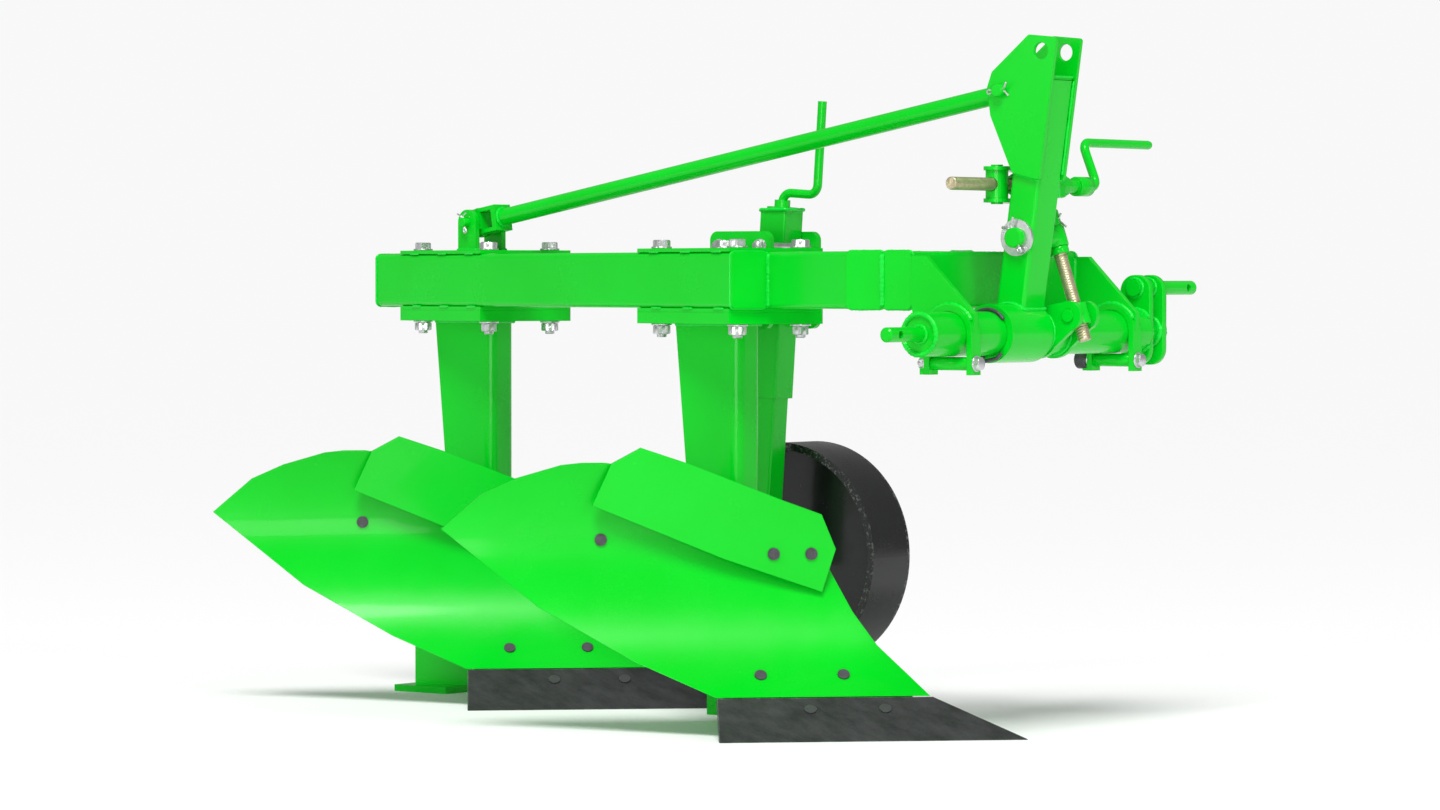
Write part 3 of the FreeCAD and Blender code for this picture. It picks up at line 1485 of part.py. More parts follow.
def stay():
    """The long stay tube with its eye at the mast and its fork at the rear joint."""
    joint, run, length = stay_line()
    half = size.stay_block_height / 2 + size.face_gap
    arms = []
    for z in (half, -(half + size.stay_fork_arm)):
        arm = box(size.stay_fork_length, size.stay_fork_width, size.stay_fork_arm)
        arm.Placement = at(0, -size.stay_fork_width / 2, z)
        nose = rod(size.stay_fork_width / 2, size.stay_fork_arm, at(z=z))
        arms += [arm, nose]
    outside = half + size.stay_fork_arm
    web = box(size.stay_fork_web, size.stay_fork_width, outside * 2)
    web.Placement = at(size.stay_fork_length - size.stay_fork_web, -size.stay_fork_width / 2, -outside)
    reach = outside * 4
    drill = rod(size.joint_pin + size.running_play, reach, at(z=-reach / 2))
    node(cut(fuse(*arms, web), drill), "stay_fork", Placement(joint, stay_turn()))
    tube = rod(size.stay_radius, length - size.stay_fork_length, at(size.stay_fork_length, 0, 0, ALONG_X))
    width = size.stay_eye_width
    square = stay_turn().inverted()
    eye = rod(size.stay_eye_radius, width)
    eye.Placement = Placement(Vector(length, 0, 0), square).multiply(at(0, -width / 2, 0, ALONG_Y))
    bore = rod(size.stay_pin + size.stay_eye_play, width * 2)
    bore.Placement = Placement(Vector(length, 0, 0), square).multiply(at(0, -width, 0, ALONG_Y))
    node(cut(fuse(tube, eye), bore), "stay_tube", Placement(joint, stay_turn()))


column_y = size.wheel_beam_y + size.beam_width + size.sleeve_side / 2


def column_frame(height):
    """A placement on the column's leaning axis at a height."""
    rise = float(height) - float(size.wheel_height)
    x = float(wheel_x) + rise * math.tan(math.radians(VALUES["column_lean_angle"]))
    return at(x, column_y, height, COLUMN_TURN)


def column_sleeve():
    """The square sleeve that guides the wheel's column, closed by a cap."""
    place = column_frame(size.sleeve_top)
    wall = (size.sleeve_side - size.column_side) / 2 - size.column_play
    tube = box_tube(size.sleeve_side, size.sleeve_side, wall, size.sleeve_length, size.column_corner)
    tube.Placement = at(z=-size.sleeve_length)
    outline = rectangle(size.sleeve_side, size.sleeve_side, -size.sleeve_side / 2, -size.sleeve_side / 2)
    hole = [(0, 0, size.depth_radius + size.running_play)]
    cap = plate(outline, size.sleeve_cap, hole, outline, size.column_corner)
    return node(fuse(tube, cap), "column_sleeve", place)


def clamp():
    """Two plates and four bolts that clamp the sleeve to the wheel beam."""
    middle = column_frame(beam_middle).Base.x
    outline = rectangle(size.clamp_length, size.clamp_height, -size.clamp_length / 2, -size.clamp_height / 2)
    radius = (size.clamp_bolt + size.bolt_play) / 2
    pitch_x = size.sleeve_side / 2 + size.clamp_bolt_gap + size.clamp_bolt / 2
    pitch_z = size.beam_height / 2 + size.clamp_bolt_clear + size.clamp_bolt / 2
    holes = [(pitch_x * a, pitch_z * b, radius) for a in (-1, 1) for b in (-1, 1)]
    near = size.wheel_beam_y - size.clamp_thickness
    grip = size.beam_width + size.sleeve_side + size.clamp_thickness * 2
    for label, y in (("near_clamp_plate", near), ("far_clamp_plate", near + grip - size.clamp_thickness)):
        face = plate(outline, size.clamp_thickness, holes, outline, size.clamp_corner)
        node(face, label, at(middle, y + size.clamp_thickness, beam_middle, STANDING))
    bolts = [bolt(size.clamp_bolt, grip, at(x, 0, z, ALONG_Y)) for x, z, hole in holes]
    node(group(*bolts), "clamp_bolts", at(middle, near, beam_middle))


def column():
    """The column that slides in the sleeve, with the nut for the depth screw at its top."""
    rise = size.column_top - size.wheel_height
    length = rise / math.cos(math.radians(VALUES["column_lean_angle"]))
    inner = size.column_side - size.column_wall * 2
    tube = box_tube(size.column_side, size.column_side, size.column_wall, length, size.column_corner)
    foot = box(size.column_side, size.column_side, size.column_side / 2)
    foot.Placement = at(-size.column_side / 2, -size.column_side / 2, -size.column_side / 2)
    nut = cut(box(inner, inner, size.depth_nut, at(-inner / 2, -inner / 2, length - size.depth_nut)),
              rod(size.depth_radius + size.face_gap, length * 2))
    reach = size.column_side / 2 + size.wheel_gap + size.hub_length + size.axle_washer
    axle = rod(size.axle_radius, reach + size.axle_washer * 3, at(turn=ALONG_Y))
    shoulder = rod(size.hub_radius - size.axle_washer, size.axle_washer)
    near = wheel_near - column_y
    shoulder.Placement = at(0, near + hub_start - size.axle_washer - size.face_gap, 0, ALONG_Y)
    node(fuse(tube, foot, nut, axle, shoulder), "column", column_frame(size.wheel_height))


wheel_near = column_y + size.sleeve_side / 2 + size.wheel_gap
hub_start = size.wheel_inset - size.hub_length / 2 + size.wheel_disc


def wheel():
    """The pressed wheel: rim with rolled edges, dished disc and hub."""
    rim = round_tube(size.wheel_radius, size.wheel_radius - size.wheel_rim, size.wheel_width)
    depth = size.wheel_radius - size.wheel_lip - size.wheel_rim
    lips = [round_tube(size.wheel_radius, depth, size.wheel_rim) for side in range(2)]
    lips[1].Placement = at(z=size.wheel_width - size.wheel_rim)
    disc = rod(size.wheel_radius - size.wheel_rim, size.wheel_disc, at(z=size.wheel_inset))
    hub = rod(size.hub_radius, size.hub_length, at(z=hub_start))
    bore = rod(size.axle_radius + size.running_play, size.wheel_width * 3, at(z=-size.wheel_width))
    place = at(wheel_x, wheel_near, size.wheel_height, ALONG_Y)
    node(cut(fuse(rim, *lips, disc, hub), bore), "wheel", place)


def depth_screw():
    """The depth screw, which hangs in the sleeve's cap, and its crank."""
    seat = size.sleeve_cap + size.running_play
    stem = rod(size.depth_radius, size.depth_screw_length + seat, at(z=-size.depth_screw_length))
    collar = rod(size.collar_radius, size.collar_length, at(z=-(size.collar_length + size.running_play)))
    disc = rod(size.depth_washer, size.washer_thick, at(z=seat))
    hub = rod(size.collar_radius - size.cotter, size.collar_length, at(z=seat + size.washer_thick))
    lead = size.crank_bar
    handle = crank(lead, size.depth_crank_arm, size.depth_crank_handle)
    handle.Placement = at(0, 0, seat + size.washer_thick, CRANK_AHEAD)
    whole = fuse(stem, collar, disc, hub, handle)
    return node(whole, "depth_screw", column_frame(size.sleeve_top))


def check_objects():
    """Stop where an object failed or a sub-part has no valid shape."""
    doc.recompute()
    for thing in doc.Objects:
        if "Invalid" in thing.State or "Error" in thing.State:
            raise RuntimeError("%s failed: %s" % (thing.Label, thing.State))
    for thing in NODES:
        if thing.Shape.isNull() or not thing.Shape.isValid():
            raise RuntimeError("%s has no valid shape" % thing.Label)


def stand_on_origin():
    """Move the whole model so that the middle of its footprint is the origin."""
    bounds = FreeCAD.BoundBox()
    for thing in NODES:
        bounds.add(thing.Shape.optimalBoundingBox(False, False))
    shift = Vector(-bounds.Center.x, -bounds.Center.y, -bounds.ZMin)
    for thing in NODES:
        thing.Placement = Placement(shift, UPRIGHT).multiply(thing.Placement)
    doc.recompute()
    print("Shift to the middle of the footprint: %.4f %.4f %.4f" % tuple(shift))
    print("Overall size: %.2f %.2f %.2f" % (bounds.XLength, bounds.YLength, bounds.ZLength))


def write_nodes():
    """Write each sub-part to a file of its own."""
    os.makedirs("parts", exist_ok=True)
    for thing in NODES:
        thing.Shape.exportStep("parts/%s.step" % thing.Label)


main_beam()
link_beam()
cross_members()
wheel_beam()
end_caps()
plough_bottom("front", 0)
plough_bottom("rear", -1)
shaft_bearings()
cross_shaft()
far_hitch()
retaining_ring()
screw_ears()
mast()
cheeks()
stay_pin()
trunnion()
tilt_screw()
tilt_nut()
shift_clevis()
shift_nut()
shift_bearing()
shift_screw()
stay_bracket()
stay_cross()
stay()
column_sleeve()
clamp()
column()
wheel()
depth_screw()
check_objects()
stand_on_origin()
write_nodes()
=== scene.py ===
import json
import math
import random

import bmesh
import bpy
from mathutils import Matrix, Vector


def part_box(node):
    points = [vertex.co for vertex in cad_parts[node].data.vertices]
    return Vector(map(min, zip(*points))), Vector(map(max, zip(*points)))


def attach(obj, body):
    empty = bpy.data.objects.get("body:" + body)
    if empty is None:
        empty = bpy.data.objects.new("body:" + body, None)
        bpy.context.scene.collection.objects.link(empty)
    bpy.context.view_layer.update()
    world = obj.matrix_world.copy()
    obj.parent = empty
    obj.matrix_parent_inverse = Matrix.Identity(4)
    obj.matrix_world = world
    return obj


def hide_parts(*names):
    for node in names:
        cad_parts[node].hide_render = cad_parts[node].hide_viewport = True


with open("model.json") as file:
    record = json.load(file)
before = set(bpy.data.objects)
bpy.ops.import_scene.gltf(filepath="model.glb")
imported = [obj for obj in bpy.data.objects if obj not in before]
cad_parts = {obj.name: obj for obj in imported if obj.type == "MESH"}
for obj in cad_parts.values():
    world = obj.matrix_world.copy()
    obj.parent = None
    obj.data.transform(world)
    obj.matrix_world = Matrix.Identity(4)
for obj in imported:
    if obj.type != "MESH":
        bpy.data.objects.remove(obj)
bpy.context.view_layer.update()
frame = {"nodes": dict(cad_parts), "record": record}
nodes = frame["nodes"]

# Camera: where the photographer stood, in metres from the middle of the plough's footprint
CAMERA_PLACE = Vector((4.9997, -6.5051, 0.6892))
CAMERA_AZIMUTH = math.radians(37.0)
CAMERA_PITCH = math.radians(-1.37)
FOCAL_PIXELS = 5200.0
IMAGE_WIDTH = 1440.0
SENSOR_WIDTH = 36.0
CAMERA_REACH = 100.0

# Axes: X points forward, Y to the land side and Z up
# Sizes from here to the colours are in millimetres from the cross shaft's axis, as in the CAD source
ORIGIN = Vector((682.1809, -11.9431, 0.0))
X = Vector((1, 0, 0))
Y = Vector((0, 1, 0))
Z = Vector((0, 0, 1))

# Beams: the main and link beam run askew, the others square
BEAM_TURN = math.radians(-18.4)
ALONG = Vector((math.cos(BEAM_TURN), math.sin(BEAM_TURN), 0))
ASIDE = Vector((-math.sin(BEAM_TURN), math.cos(BEAM_TURN), 0))
LEG = Vector((-499.0, -74.0, 0.0))
SPACING = 711.0
LEGS = (("front", 0.0), ("rear", -SPACING))
BEAM_LOW = 647.0
BEAM_TOP = 733.0
BEAM_MIDDLE = (BEAM_LOW + BEAM_TOP) / 2
BEAM_WIDE = 66.0
HALF_WIDE = BEAM_WIDE / 2
HALF_HIGH = (BEAM_TOP - BEAM_LOW) / 2
CORNER = 7.0
END_CAP = 5.0
MAIN_SIDE = -57.0
MAIN_FRONT = 133.0
MAIN_REAR = -(SPACING + 206.0)
CROSS_REAR = -188.0
CROSS_FRONT = -122.0
HEAD_FRONT = -70.0
HEAD_HALF = 26.0
FRAME_NEAR = -203.0
FRAME_FAR = 246.0
WHEEL_BEAM_REAR = -653.0
WHEEL_BEAM_Y = 103.0

# Legs with their flanges, and what stands on the beams
FLANGE_WIDE = 180.0
PLATE = 6.0
FLANGE = 18.0
FLANGE_BOLT = 16.0
SMALL_BOLT = 12.0
POST = Vector((-96.0, 155.0, 0.0))
POST_HALF = 20.6
STAY_JOINT = (-692.0, -20.0, 785.0)
STAY_EYE = Vector((-12.0, -20.0, 972.0))

# Plough bottoms
FROG_SIDE = 50.0
LANDSIDE_FACE = 60.0
SHORT_LANDSIDE = -583.0
SHARE_TOP = 62.0

# Cross shaft and its straps
SHAFT_Z = 611.0
SHAFT_R = 33.0
SHAFT_NEAR = -282.0
SHAFT_FAR = 300.0
STRAP_R = 42.4
GUSSET_HALF = 5.0
KEEPER_DROP = 43.4
ARM_GAP = 27.0
ARM_THICK = 11.0

# Mast with its pin, and the two adjusting screws
MAST_Y = -20.0
MAST_FOOT = -4.0
MAST_LEAN = math.radians(8.3)
MAST_TOP = 990.0
MAST_DEEP = 50.0
MAST_WIDE = 60.0
SLEEVE_R = 44.0
PIN_Z = 753.0
PIN_R = 15.0
PIN_END = 45.1
TILT_Y = 51.5
TILT_X = 57.0
TILT_RISE = 26.0
TILT_BOSS = 15.5
SHIFT_X = -33.0
SHIFT_Z = 833.0
SCREW_R = 10.0
COLLAR_R = 15.0
COLLAR = 11.0

# Fineness of welds and threads
BEAD_STEP = 1.9
BEAD_SIDES = 7
BEAD_GAP = 0.2
RING_TURN = 354
PITCH = 4.0
FINE_PITCH = 2.0
THREAD_SIDES = 24
THREAD_ROWS = 6
HEX_SIDES = 48
SHARP_ANGLE = 45.0
CUT_ANGLE = 30.0

# Colours in linear light
GREEN = (0.0, 0.60, 0.018, 1.0)
GREEN_DEEP = (0.0, 0.52, 0.010, 1.0)
# Lighter green: the fine specks in all the paint, and the weld beads' base colour, where it is a painted
# highlight
GREEN_SPECK_AND_WELD_HIGHLIGHT = (0.005, 0.68, 0.05, 1.0)
GLOSS_BLACK = (0.012, 0.012, 0.013, 1.0)
# Light grey: real scuffs on the wheel's rim edges, and a painted highlight along the shares' sharp edges
SCUFF_AND_HIGHLIGHT_GREY = (0.20, 0.20, 0.20, 1.0)
SHARE_GREY = (0.050, 0.050, 0.052, 1.0)
SHARE_DARK = (0.022, 0.022, 0.023, 1.0)
BOLT_DARK = (0.075, 0.068, 0.085, 1.0)
BOLT_DEEP = (0.03, 0.03, 0.034, 1.0)
ZINC = (0.72, 0.72, 0.74, 1.0)
ZINC_DULL = (0.50, 0.50, 0.51, 1.0)
PASSIVATED = (0.56, 0.49, 0.31, 1.0)
PASSIVATED_DULL = (0.36, 0.32, 0.20, 1.0)
FLOOR_WHITE = (0.92, 0.92, 0.92, 1.0)
BACKDROP_WHITE = (0.94, 0.94, 0.94, 1.0)
ROOM_GREY = (0.30, 0.30, 0.30, 1.0)

# What a ramp goes from and to
RISING = (0.0, 1.0)
FALLING = (1.0, 0.0)

# Lights and floor, in metres; a soft box has its place, size and power
FLOOR_REACH = 60.0
LIGHT_TARGET = Vector((0, 0, 0.5))
CEILING_FROM = Vector((0.30, -0.50, 0.9))
CEILING_STRENGTH = 2.7
CEILING_SPREAD = math.radians(22.0)
SOFT_BOXES = (
    ("left_box", (-2.2, -5.0, 2.6), (1.0, 2.4), 45),
    ("right_box", (5.5, -1.2, 2.4), (1.0, 2.4), 55),
    ("low_fill", (3.2, -5.2, 0.8), (3.0, 1.0), 60),
)


# Materials

def new_material(name):
    """A node material, its tree and its surface shader."""
    material = bpy.data.materials.new(name)
    material.use_nodes = True
    shader = material.node_tree.nodes["Principled BSDF"]
    return material, material.node_tree, shader


def object_place(tree):
    """A point's place at rest, in metres."""
    return tree.nodes.new("ShaderNodeTexCoord").outputs["Object"]


def place_along(tree, axis):
    """A point's place at rest along one axis of the frame, in metres."""
    split = tree.nodes.new("ShaderNodeSeparateXYZ")
    tree.links.new(object_place(tree), split.inputs["Vector"])
    return split.outputs[axis]


def noise(tree, scale, detail, roughness, place=None):
    """Noise over the points' places at rest, or over another place that is given."""
    texture = tree.nodes.new("ShaderNodeTexNoise")
    texture.inputs["Scale"].default_value = scale
    texture.inputs["Detail"].default_value = detail
    texture.inputs["Roughness"].default_value = roughness
    if place is None:
        place = object_place(tree)
    tree.links.new(place, texture.inputs["Vector"])
    return texture.outputs["Fac"]


def ramp(tree, source, levels, values):
    """A value that goes from one number to another as the source passes from one level to another."""
    node = tree.nodes.new("ShaderNodeMapRange")
    node.inputs["From Min"].default_value = levels[0]
    node.inputs["From Max"].default_value = levels[1]
    node.inputs["To Min"].default_value = values[0]
    node.inputs["To Max"].default_value = values[1]
    tree.links.new(source, node.inputs["Value"])
    return node.outputs["Result"]


def mix_colour(tree, amount, first, second):
    """Two colours mixed by an amount; either may be a plain colour or another node's output."""
    node = tree.nodes.new("ShaderNodeMix")
    node.data_type = "RGBA"
    tree.links.new(amount, node.inputs["Factor"])
    for socket, colour in ((node.inputs["A"], first), (node.inputs["B"], second)):
        if isinstance(colour, tuple):
            socket.default_value = colour
        else:
            tree.links.new(colour, socket)
    return node.outputs["Result"]


def multiply(tree, first, second):
    """The product of two values."""
    node = tree.nodes.new("ShaderNodeMath")
    node.operation = "MULTIPLY"
    tree.links.new(first, node.inputs[0])
    tree.links.new(second, node.inputs[1])
    return node.outputs["Value"]


def rounded_normal(tree, reach, samples):
    """The surface's normal, rounded within a reach of its edges."""
    bevel = tree.nodes.new("ShaderNodeBevel")
    bevel.samples = samples
    bevel.inputs["Radius"].default_value = reach
    return bevel.outputs["Normal"]


def edge_mask(tree, reach, likeness):
    """Near one within a reach of sharp outer edges, where the rounded normal leaves the flat one."""
    flat = tree.nodes.new("ShaderNodeNewGeometry")
    product = tree.nodes.new("ShaderNodeVectorMath")
    product.operation = "DOT_PRODUCT"
    tree.links.new(rounded_normal(tree, reach, samples=6), product.inputs[0])
    tree.links.new(flat.outputs["Normal"], product.inputs[1])
    return ramp(tree, product.outputs["Value"], likeness, FALLING)


def relief(tree, shader, soft_edge, layers):
    """Softened edges, and bumps laid over each other, from (height, distance, strength)."""
    normal = rounded_normal(tree, soft_edge, samples=4)
    for height, distance, strength in layers:
        node = tree.nodes.new("ShaderNodeBump")
        node.inputs["Distance"].default_value = distance
        node.inputs["Strength"].default_value = strength
        tree.links.new(height, node.inputs["Height"])
        tree.links.new(normal, node.inputs["Normal"])
        normal = node.outputs["Normal"]
    tree.links.new(normal, shader.inputs["Normal"])


def finish_shader(tree, shader, colour, roughness, specular, coat=0.0, coat_roughness=0.03):
    """Set what every finish has: its colour, roughness, specular level and clear coat."""
    tree.links.new(colour, shader.inputs["Base Color"])
    tree.links.new(roughness, shader.inputs["Roughness"])
    shader.inputs["Specular IOR Level"].default_value = specular
    shader.inputs["Coat Weight"].default_value = coat
    shader.inputs["Coat Roughness"].default_value = coat_roughness


def green_paint(name, light, deep, lumps):
    """Glossy powder coat: slow shade changes, fine orange peel, softened edges, lumps over welds."""
    material, tree, shader = new_material(name)
    patches = noise(tree, scale=2.5, detail=3.0, roughness=0.5)
    # For the welds the light colour is the lighter green, a painted highlight on the beads
    shade = mix_colour(tree, ramp(tree, patches, (0.35, 0.70), RISING), light, deep)
    specks = noise(tree, scale=240.0, detail=3.0, roughness=0.6)
    colour = mix_colour(tree, ramp(tree, specks, (0.64, 0.76), (0.0, 0.30)), shade, GREEN_SPECK_AND_WELD_HIGHLIGHT)
    handling = noise(tree, scale=9.0, detail=5.0, roughness=0.6)
    dullness = ramp(tree, handling, (0.3, 0.8), (0.20, 0.32))
    finish_shader(tree, shader, colour, dullness, specular=0.18, coat=0.14, coat_roughness=0.06)
    peel = noise(tree, scale=420.0, detail=2.0, roughness=0.5)
    waves = noise(tree, scale=18.0, detail=2.0, roughness=0.4)
    layers = [(peel, 0.0003, 0.16), (waves, 0.0012, 0.06)]
    if lumps:
        spatter = noise(tree, scale=210.0, detail=4.0, roughness=0.6)
        layers.append((spatter, 0.0012, 0.55))
    relief(tree, shader, 0.0016, layers)
    return material


def black_paint():
    """Gloss black wheel, with fine light scuffs where its rim's two edges have rubbed."""
    material, tree, shader = new_material("black_gloss")
    rim_near, rim_far = (corner.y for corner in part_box("wheel"))
    across = place_along(tree, "Y")
    flecks = noise(tree, scale=170.0, detail=5.0, roughness=0.7)
    scuffs = ramp(tree, flecks, (0.54, 0.60), RISING)
    near = ramp(tree, across, (rim_near + 0.003, rim_near + 0.007), FALLING)
    far = ramp(tree, across, (rim_far - 0.007, rim_far - 0.003), RISING)
    colour = mix_colour(tree, multiply(tree, near, scuffs), GLOSS_BLACK, SCUFF_AND_HIGHLIGHT_GREY)
    colour = mix_colour(tree, multiply(tree, far, scuffs), colour, SCUFF_AND_HIGHLIGHT_GREY)
    film = noise(tree, scale=20.0, detail=5.0, roughness=0.6)
    dullness = ramp(tree, film, (0.3, 0.8), (0.16, 0.34))
    finish_shader(tree, shader, colour, dullness, specular=0.3, coat=0.12, coat_roughness=0.08)
    peel = noise(tree, scale=300.0, detail=2.0, roughness=0.5)
    dents = noise(tree, scale=14.0, detail=3.0, roughness=0.5)
    relief(tree, shader, 0.0015, [(peel, 0.0003, 0.2), (dents, 0.002, 0.10)])
    return material


def plough_bolt_steel():
    """Black bolt heads; those in the shares have taken on the shares' rolled skin."""
    material, tree, shader = new_material("bolt_dark")
    stain = noise(tree, scale=110.0, detail=5.0, roughness=0.6)
    head = mix_colour(tree, ramp(tree, stain, (0.35, 0.7), RISING), BOLT_DARK, BOLT_DEEP)
    in_share = ramp(tree, place_along(tree, "Z"), (0.058, 0.064), FALLING)
    colour = mix_colour(tree, in_share, head, SHARE_GREY)
    finish_shader(tree, shader, colour, ramp(tree, stain, (0.3, 0.7), (0.30, 0.48)), specular=0.4)
    grain = noise(tree, scale=500.0, detail=4.0, roughness=0.6)
    relief(tree, shader, 0.001, [(grain, 0.0003, 0.4)])
    return material


def share_steel():
    """Dark painted share: streaked, slightly pitted rolled skin with painted highlights along its sharp
    edges.
    """
    material, tree, shader = new_material("share_dark")
    stretch = tree.nodes.new("ShaderNodeMapping")
    stretch.inputs["Rotation"].default_value = (0.0, 0.0, math.radians(46.0))
    stretch.inputs["Scale"].default_value = (0.25, 1.0, 1.0)
    tree.links.new(object_place(tree), stretch.inputs["Vector"])
    skin = noise(tree, scale=42.0, detail=9.0, roughness=0.7, place=stretch.outputs["Vector"])
    shade = mix_colour(tree, ramp(tree, skin, (0.3, 0.7), RISING), SHARE_DARK, SHARE_GREY)
    # Lighter grey along the sharp edges: a painted highlight
    edges = edge_mask(tree, reach=0.002, likeness=(0.90, 0.995))
    painted_edge_highlight = multiply(tree, edges, ramp(tree, skin, (0.4, 0.6), (0.2, 1.0)))
    colour = mix_colour(tree, painted_edge_highlight, shade, SCUFF_AND_HIGHLIGHT_GREY)
    finish_shader(tree, shader, colour, ramp(tree, skin, (0.3, 0.7), (0.32, 0.55)), specular=0.15)
    pits = noise(tree, scale=220.0, detail=6.0, roughness=0.7)
    relief(tree, shader, 0.0015, [(pits, 0.0006, 0.45), (skin, 0.0016, 0.5)])
    return material


def metal(name, light, dull, roughness, metallic):
    """Plated steel with stains and fine grain."""
    material, tree, shader = new_material(name)
    stain = noise(tree, scale=90.0, detail=5.0, roughness=0.6)
    colour = mix_colour(tree, ramp(tree, stain, (0.35, 0.7), RISING), light, dull)
    finish_shader(tree, shader, colour, ramp(tree, stain, (0.3, 0.7), roughness), specular=0.5)
    shader.inputs["Metallic"].default_value = metallic
    grain = noise(tree, scale=700.0, detail=3.0, roughness=0.5)
    relief(tree, shader, 0.0006, [(grain, 0.0002, 0.4)])
    return material


MATERIALS = {
    "green_paint": green_paint("green_powder_coat", GREEN, GREEN_DEEP, False),
    # The weld beads' paint starts from the lighter green: a painted highlight
    "weld": green_paint("green_over_weld_painted_highlight", GREEN_SPECK_AND_WELD_HIGHLIGHT, GREEN, True),
    "black_paint": black_paint(),
    "dark_steel": share_steel(),
    "dark_bolts": plough_bolt_steel(),
    "zinc": metal("zinc_plate", ZINC, ZINC_DULL, (0.22, 0.40), 0.85),
    "yellow_zinc": metal("passivated_zinc", PASSIVATED, PASSIVATED_DULL, (0.28, 0.45), 0.7),
}


# Mesh building

class Mesh:
    """Faces gathered for one piece, in millimetres from the cross shaft's axis."""

    def __init__(self):
        self.points = []
        self.faces = []
        self.finishes = []
        self.finish = 0

    def ring(self, points):
        """Add a row of points and return their numbers."""
        first = len(self.points)
        self.points += points
        return list(range(first, first + len(points)))

    def skin(self, low, high):
        """Faces between two closed rows of the same count."""
        count = len(low)
        for index in range(count):
            follower = (index + 1) % count
            self.face([low[index], low[follower], high[follower], high[index]])

    def face(self, corners):
        """One face with the finish in use."""
        self.faces.append(corners)
        self.finishes.append(self.finish)

    def loft(self, rows, closed=False):
        """Faces through closed rows of points, with lids unless it closes on itself."""
        rings = [self.ring(row) for row in rows]
        for low, high in zip(rings, rings[1:]):
            self.skin(low, high)
        if closed:
            self.skin(rings[-1], rings[0])
        else:
            self.face(list(reversed(rings[0])))
            self.face(rings[-1])


def frame_of(axis):
    """Two directions square to an axis."""
    axis = axis.normalized()
    first = axis.cross(Z if abs(axis.z) < 0.9 else X).normalized()
    return first, axis.cross(first)


def round_point(centre, first, second, radius, turn):
    """A point on a circle."""
    return centre + first * (radius * math.cos(turn)) + second * (radius * math.sin(turn))


def circle(centre, first, second, radius, count):
    """Points round a circle."""
    turns = [2 * math.pi * step / count for step in range(count)]
    return [round_point(centre, first, second, radius, turn) for turn in turns]


def arc(centre, first, second, radius, start, finish, step=6):
    """Points on an arc, by degrees."""
    count = max(2, int(abs(finish - start) / step))
    turns = [math.radians(start + (finish - start) * index / count) for index in range(count + 1)]
    return [round_point(centre, first, second, radius, turn) for turn in turns]


def rectangle(centre, across, up, half_across, half_up, corner, steps=4):
    """A closed path round a rectangle with rounded corners."""
    path = []
    for index, (a, b) in enumerate(((1, 1), (-1, 1), (-1, -1), (1, -1))):
        middle = centre + across * (a * (half_across - corner)) + up * (b * (half_up - corner))
        for step in range(steps + 1):
            turn = math.pi / 2 * (index + step / steps)
            path.append(round_point(middle, across, up, corner, turn))
    return path


def revolve(mesh, start, axis, profile, count=32):
    """A turned shape: profile rows are (distance along the axis, radius)."""
    axis = axis.normalized()
    first, second = frame_of(axis)
    mesh.loft([circle(start + axis * along, first, second, radius, count) for along, radius in profile])


def bar(mesh, start, axis, length, radius, chamfers=(0.0, 0.0), count=32):
    """A round bar with a chamfer at its start and one at its end, where they aren't zero."""
    first, last = chamfers
    profile = [(0.0, radius - first)]
    if first:
        profile.append((first, radius))
    if last:
        profile.append((length - last, radius))
    profile.append((length, radius - last))
    revolve(mesh, start, axis, profile, count)


def transported(path, closed):
    """The directions square to a path at each of its points, without twist."""
    count = len(path)
    tangents = []
    for index in range(count):
        before = path[index - 1] if closed or index > 0 else path[index]
        after = path[(index + 1) % count] if closed or index < count - 1 else path[index]
        tangents.append((after - before).normalized())
    first, _ = frame_of(tangents[0])
    frames = []
    for tangent in tangents:
        first = (first - tangent * first.dot(tangent)).normalized()
        frames.append((first, tangent.cross(first)))
    return frames


def sweep(mesh, path, radii, count, closed=False):
    """A round bar along a path, with a radius for each point."""
    rows = []
    for place, (first, second), radius in zip(path, transported(path, closed), radii):
        rows.append(circle(place, first, second, radius, count))
    mesh.loft(rows, closed)


def divided(path, step, closed=False):
    """The path with points about a step apart."""
    ends = path[1:] + path[:1] if closed else path[1:]
    result = []
    for start, finish in zip(path, ends):
        parts = max(1, round((finish - start).length / step))
        result += [start.lerp(finish, part / parts) for part in range(parts)]
    if not closed:
        result.append(path[-1])
    return result


def bent(points, radius):
    """A path of square corners with each corner rounded to a radius."""
    steps = 8
    path = [points[0]]
    for before, corner, after in zip(points, points[1:], points[2:]):
        inward = (before - corner).normalized()
        outward = (after - corner).normalized()
        centre = corner + (inward + outward) * radius
        for step in range(steps + 1):
            turn = math.pi / 2 * step / steps
            path.append(centre - outward * (radius * math.cos(turn)) - inward * (radius * math.sin(turn)))
    path.append(points[-1])
    return path


def bead(mesh, path, size, seed, closed=False):
    """A weld: a lumpy bead with ripples and slightly uneven width, thin at its ends."""
    kept = 0.85
    uneven = 0.08
    ripple_height = 0.07
    ripple_turn = 1.7
    drift_turn = 4
    wander = size * 0.08
    thin_end = 0.5
    chance = random.Random(seed)
    rows = divided(path, BEAD_STEP, closed)
    drift = 0.0
    radii = []
    for index, place in enumerate(rows):
        drift = drift * kept + chance.uniform(-uneven, uneven)
        ripple = ripple_height * math.sin(index * ripple_turn + drift * drift_turn) + drift
        radii.append(size * (1.0 + ripple))
        rows[index] = place + Vector([chance.uniform(-wander, wander) for _ in range(3)])
    if not closed:
        radii[0] *= thin_end
        radii[-1] *= thin_end
    sweep(mesh, rows, radii, BEAD_SIDES, closed)


def box_bead(mesh, centre, across, up, half_across, half_up, corner, size, seed):
    """A closed bead round a rectangle."""
    bead(mesh, rectangle(centre, across, up, half_across, half_up, corner), size, seed, True)


def ring_bead(mesh, centre, radius, size, seed):
    """A closed bead round a bar that lies along Y."""
    bead(mesh, arc(centre, X, Z, radius, 0, RING_TURN), size, seed, True)


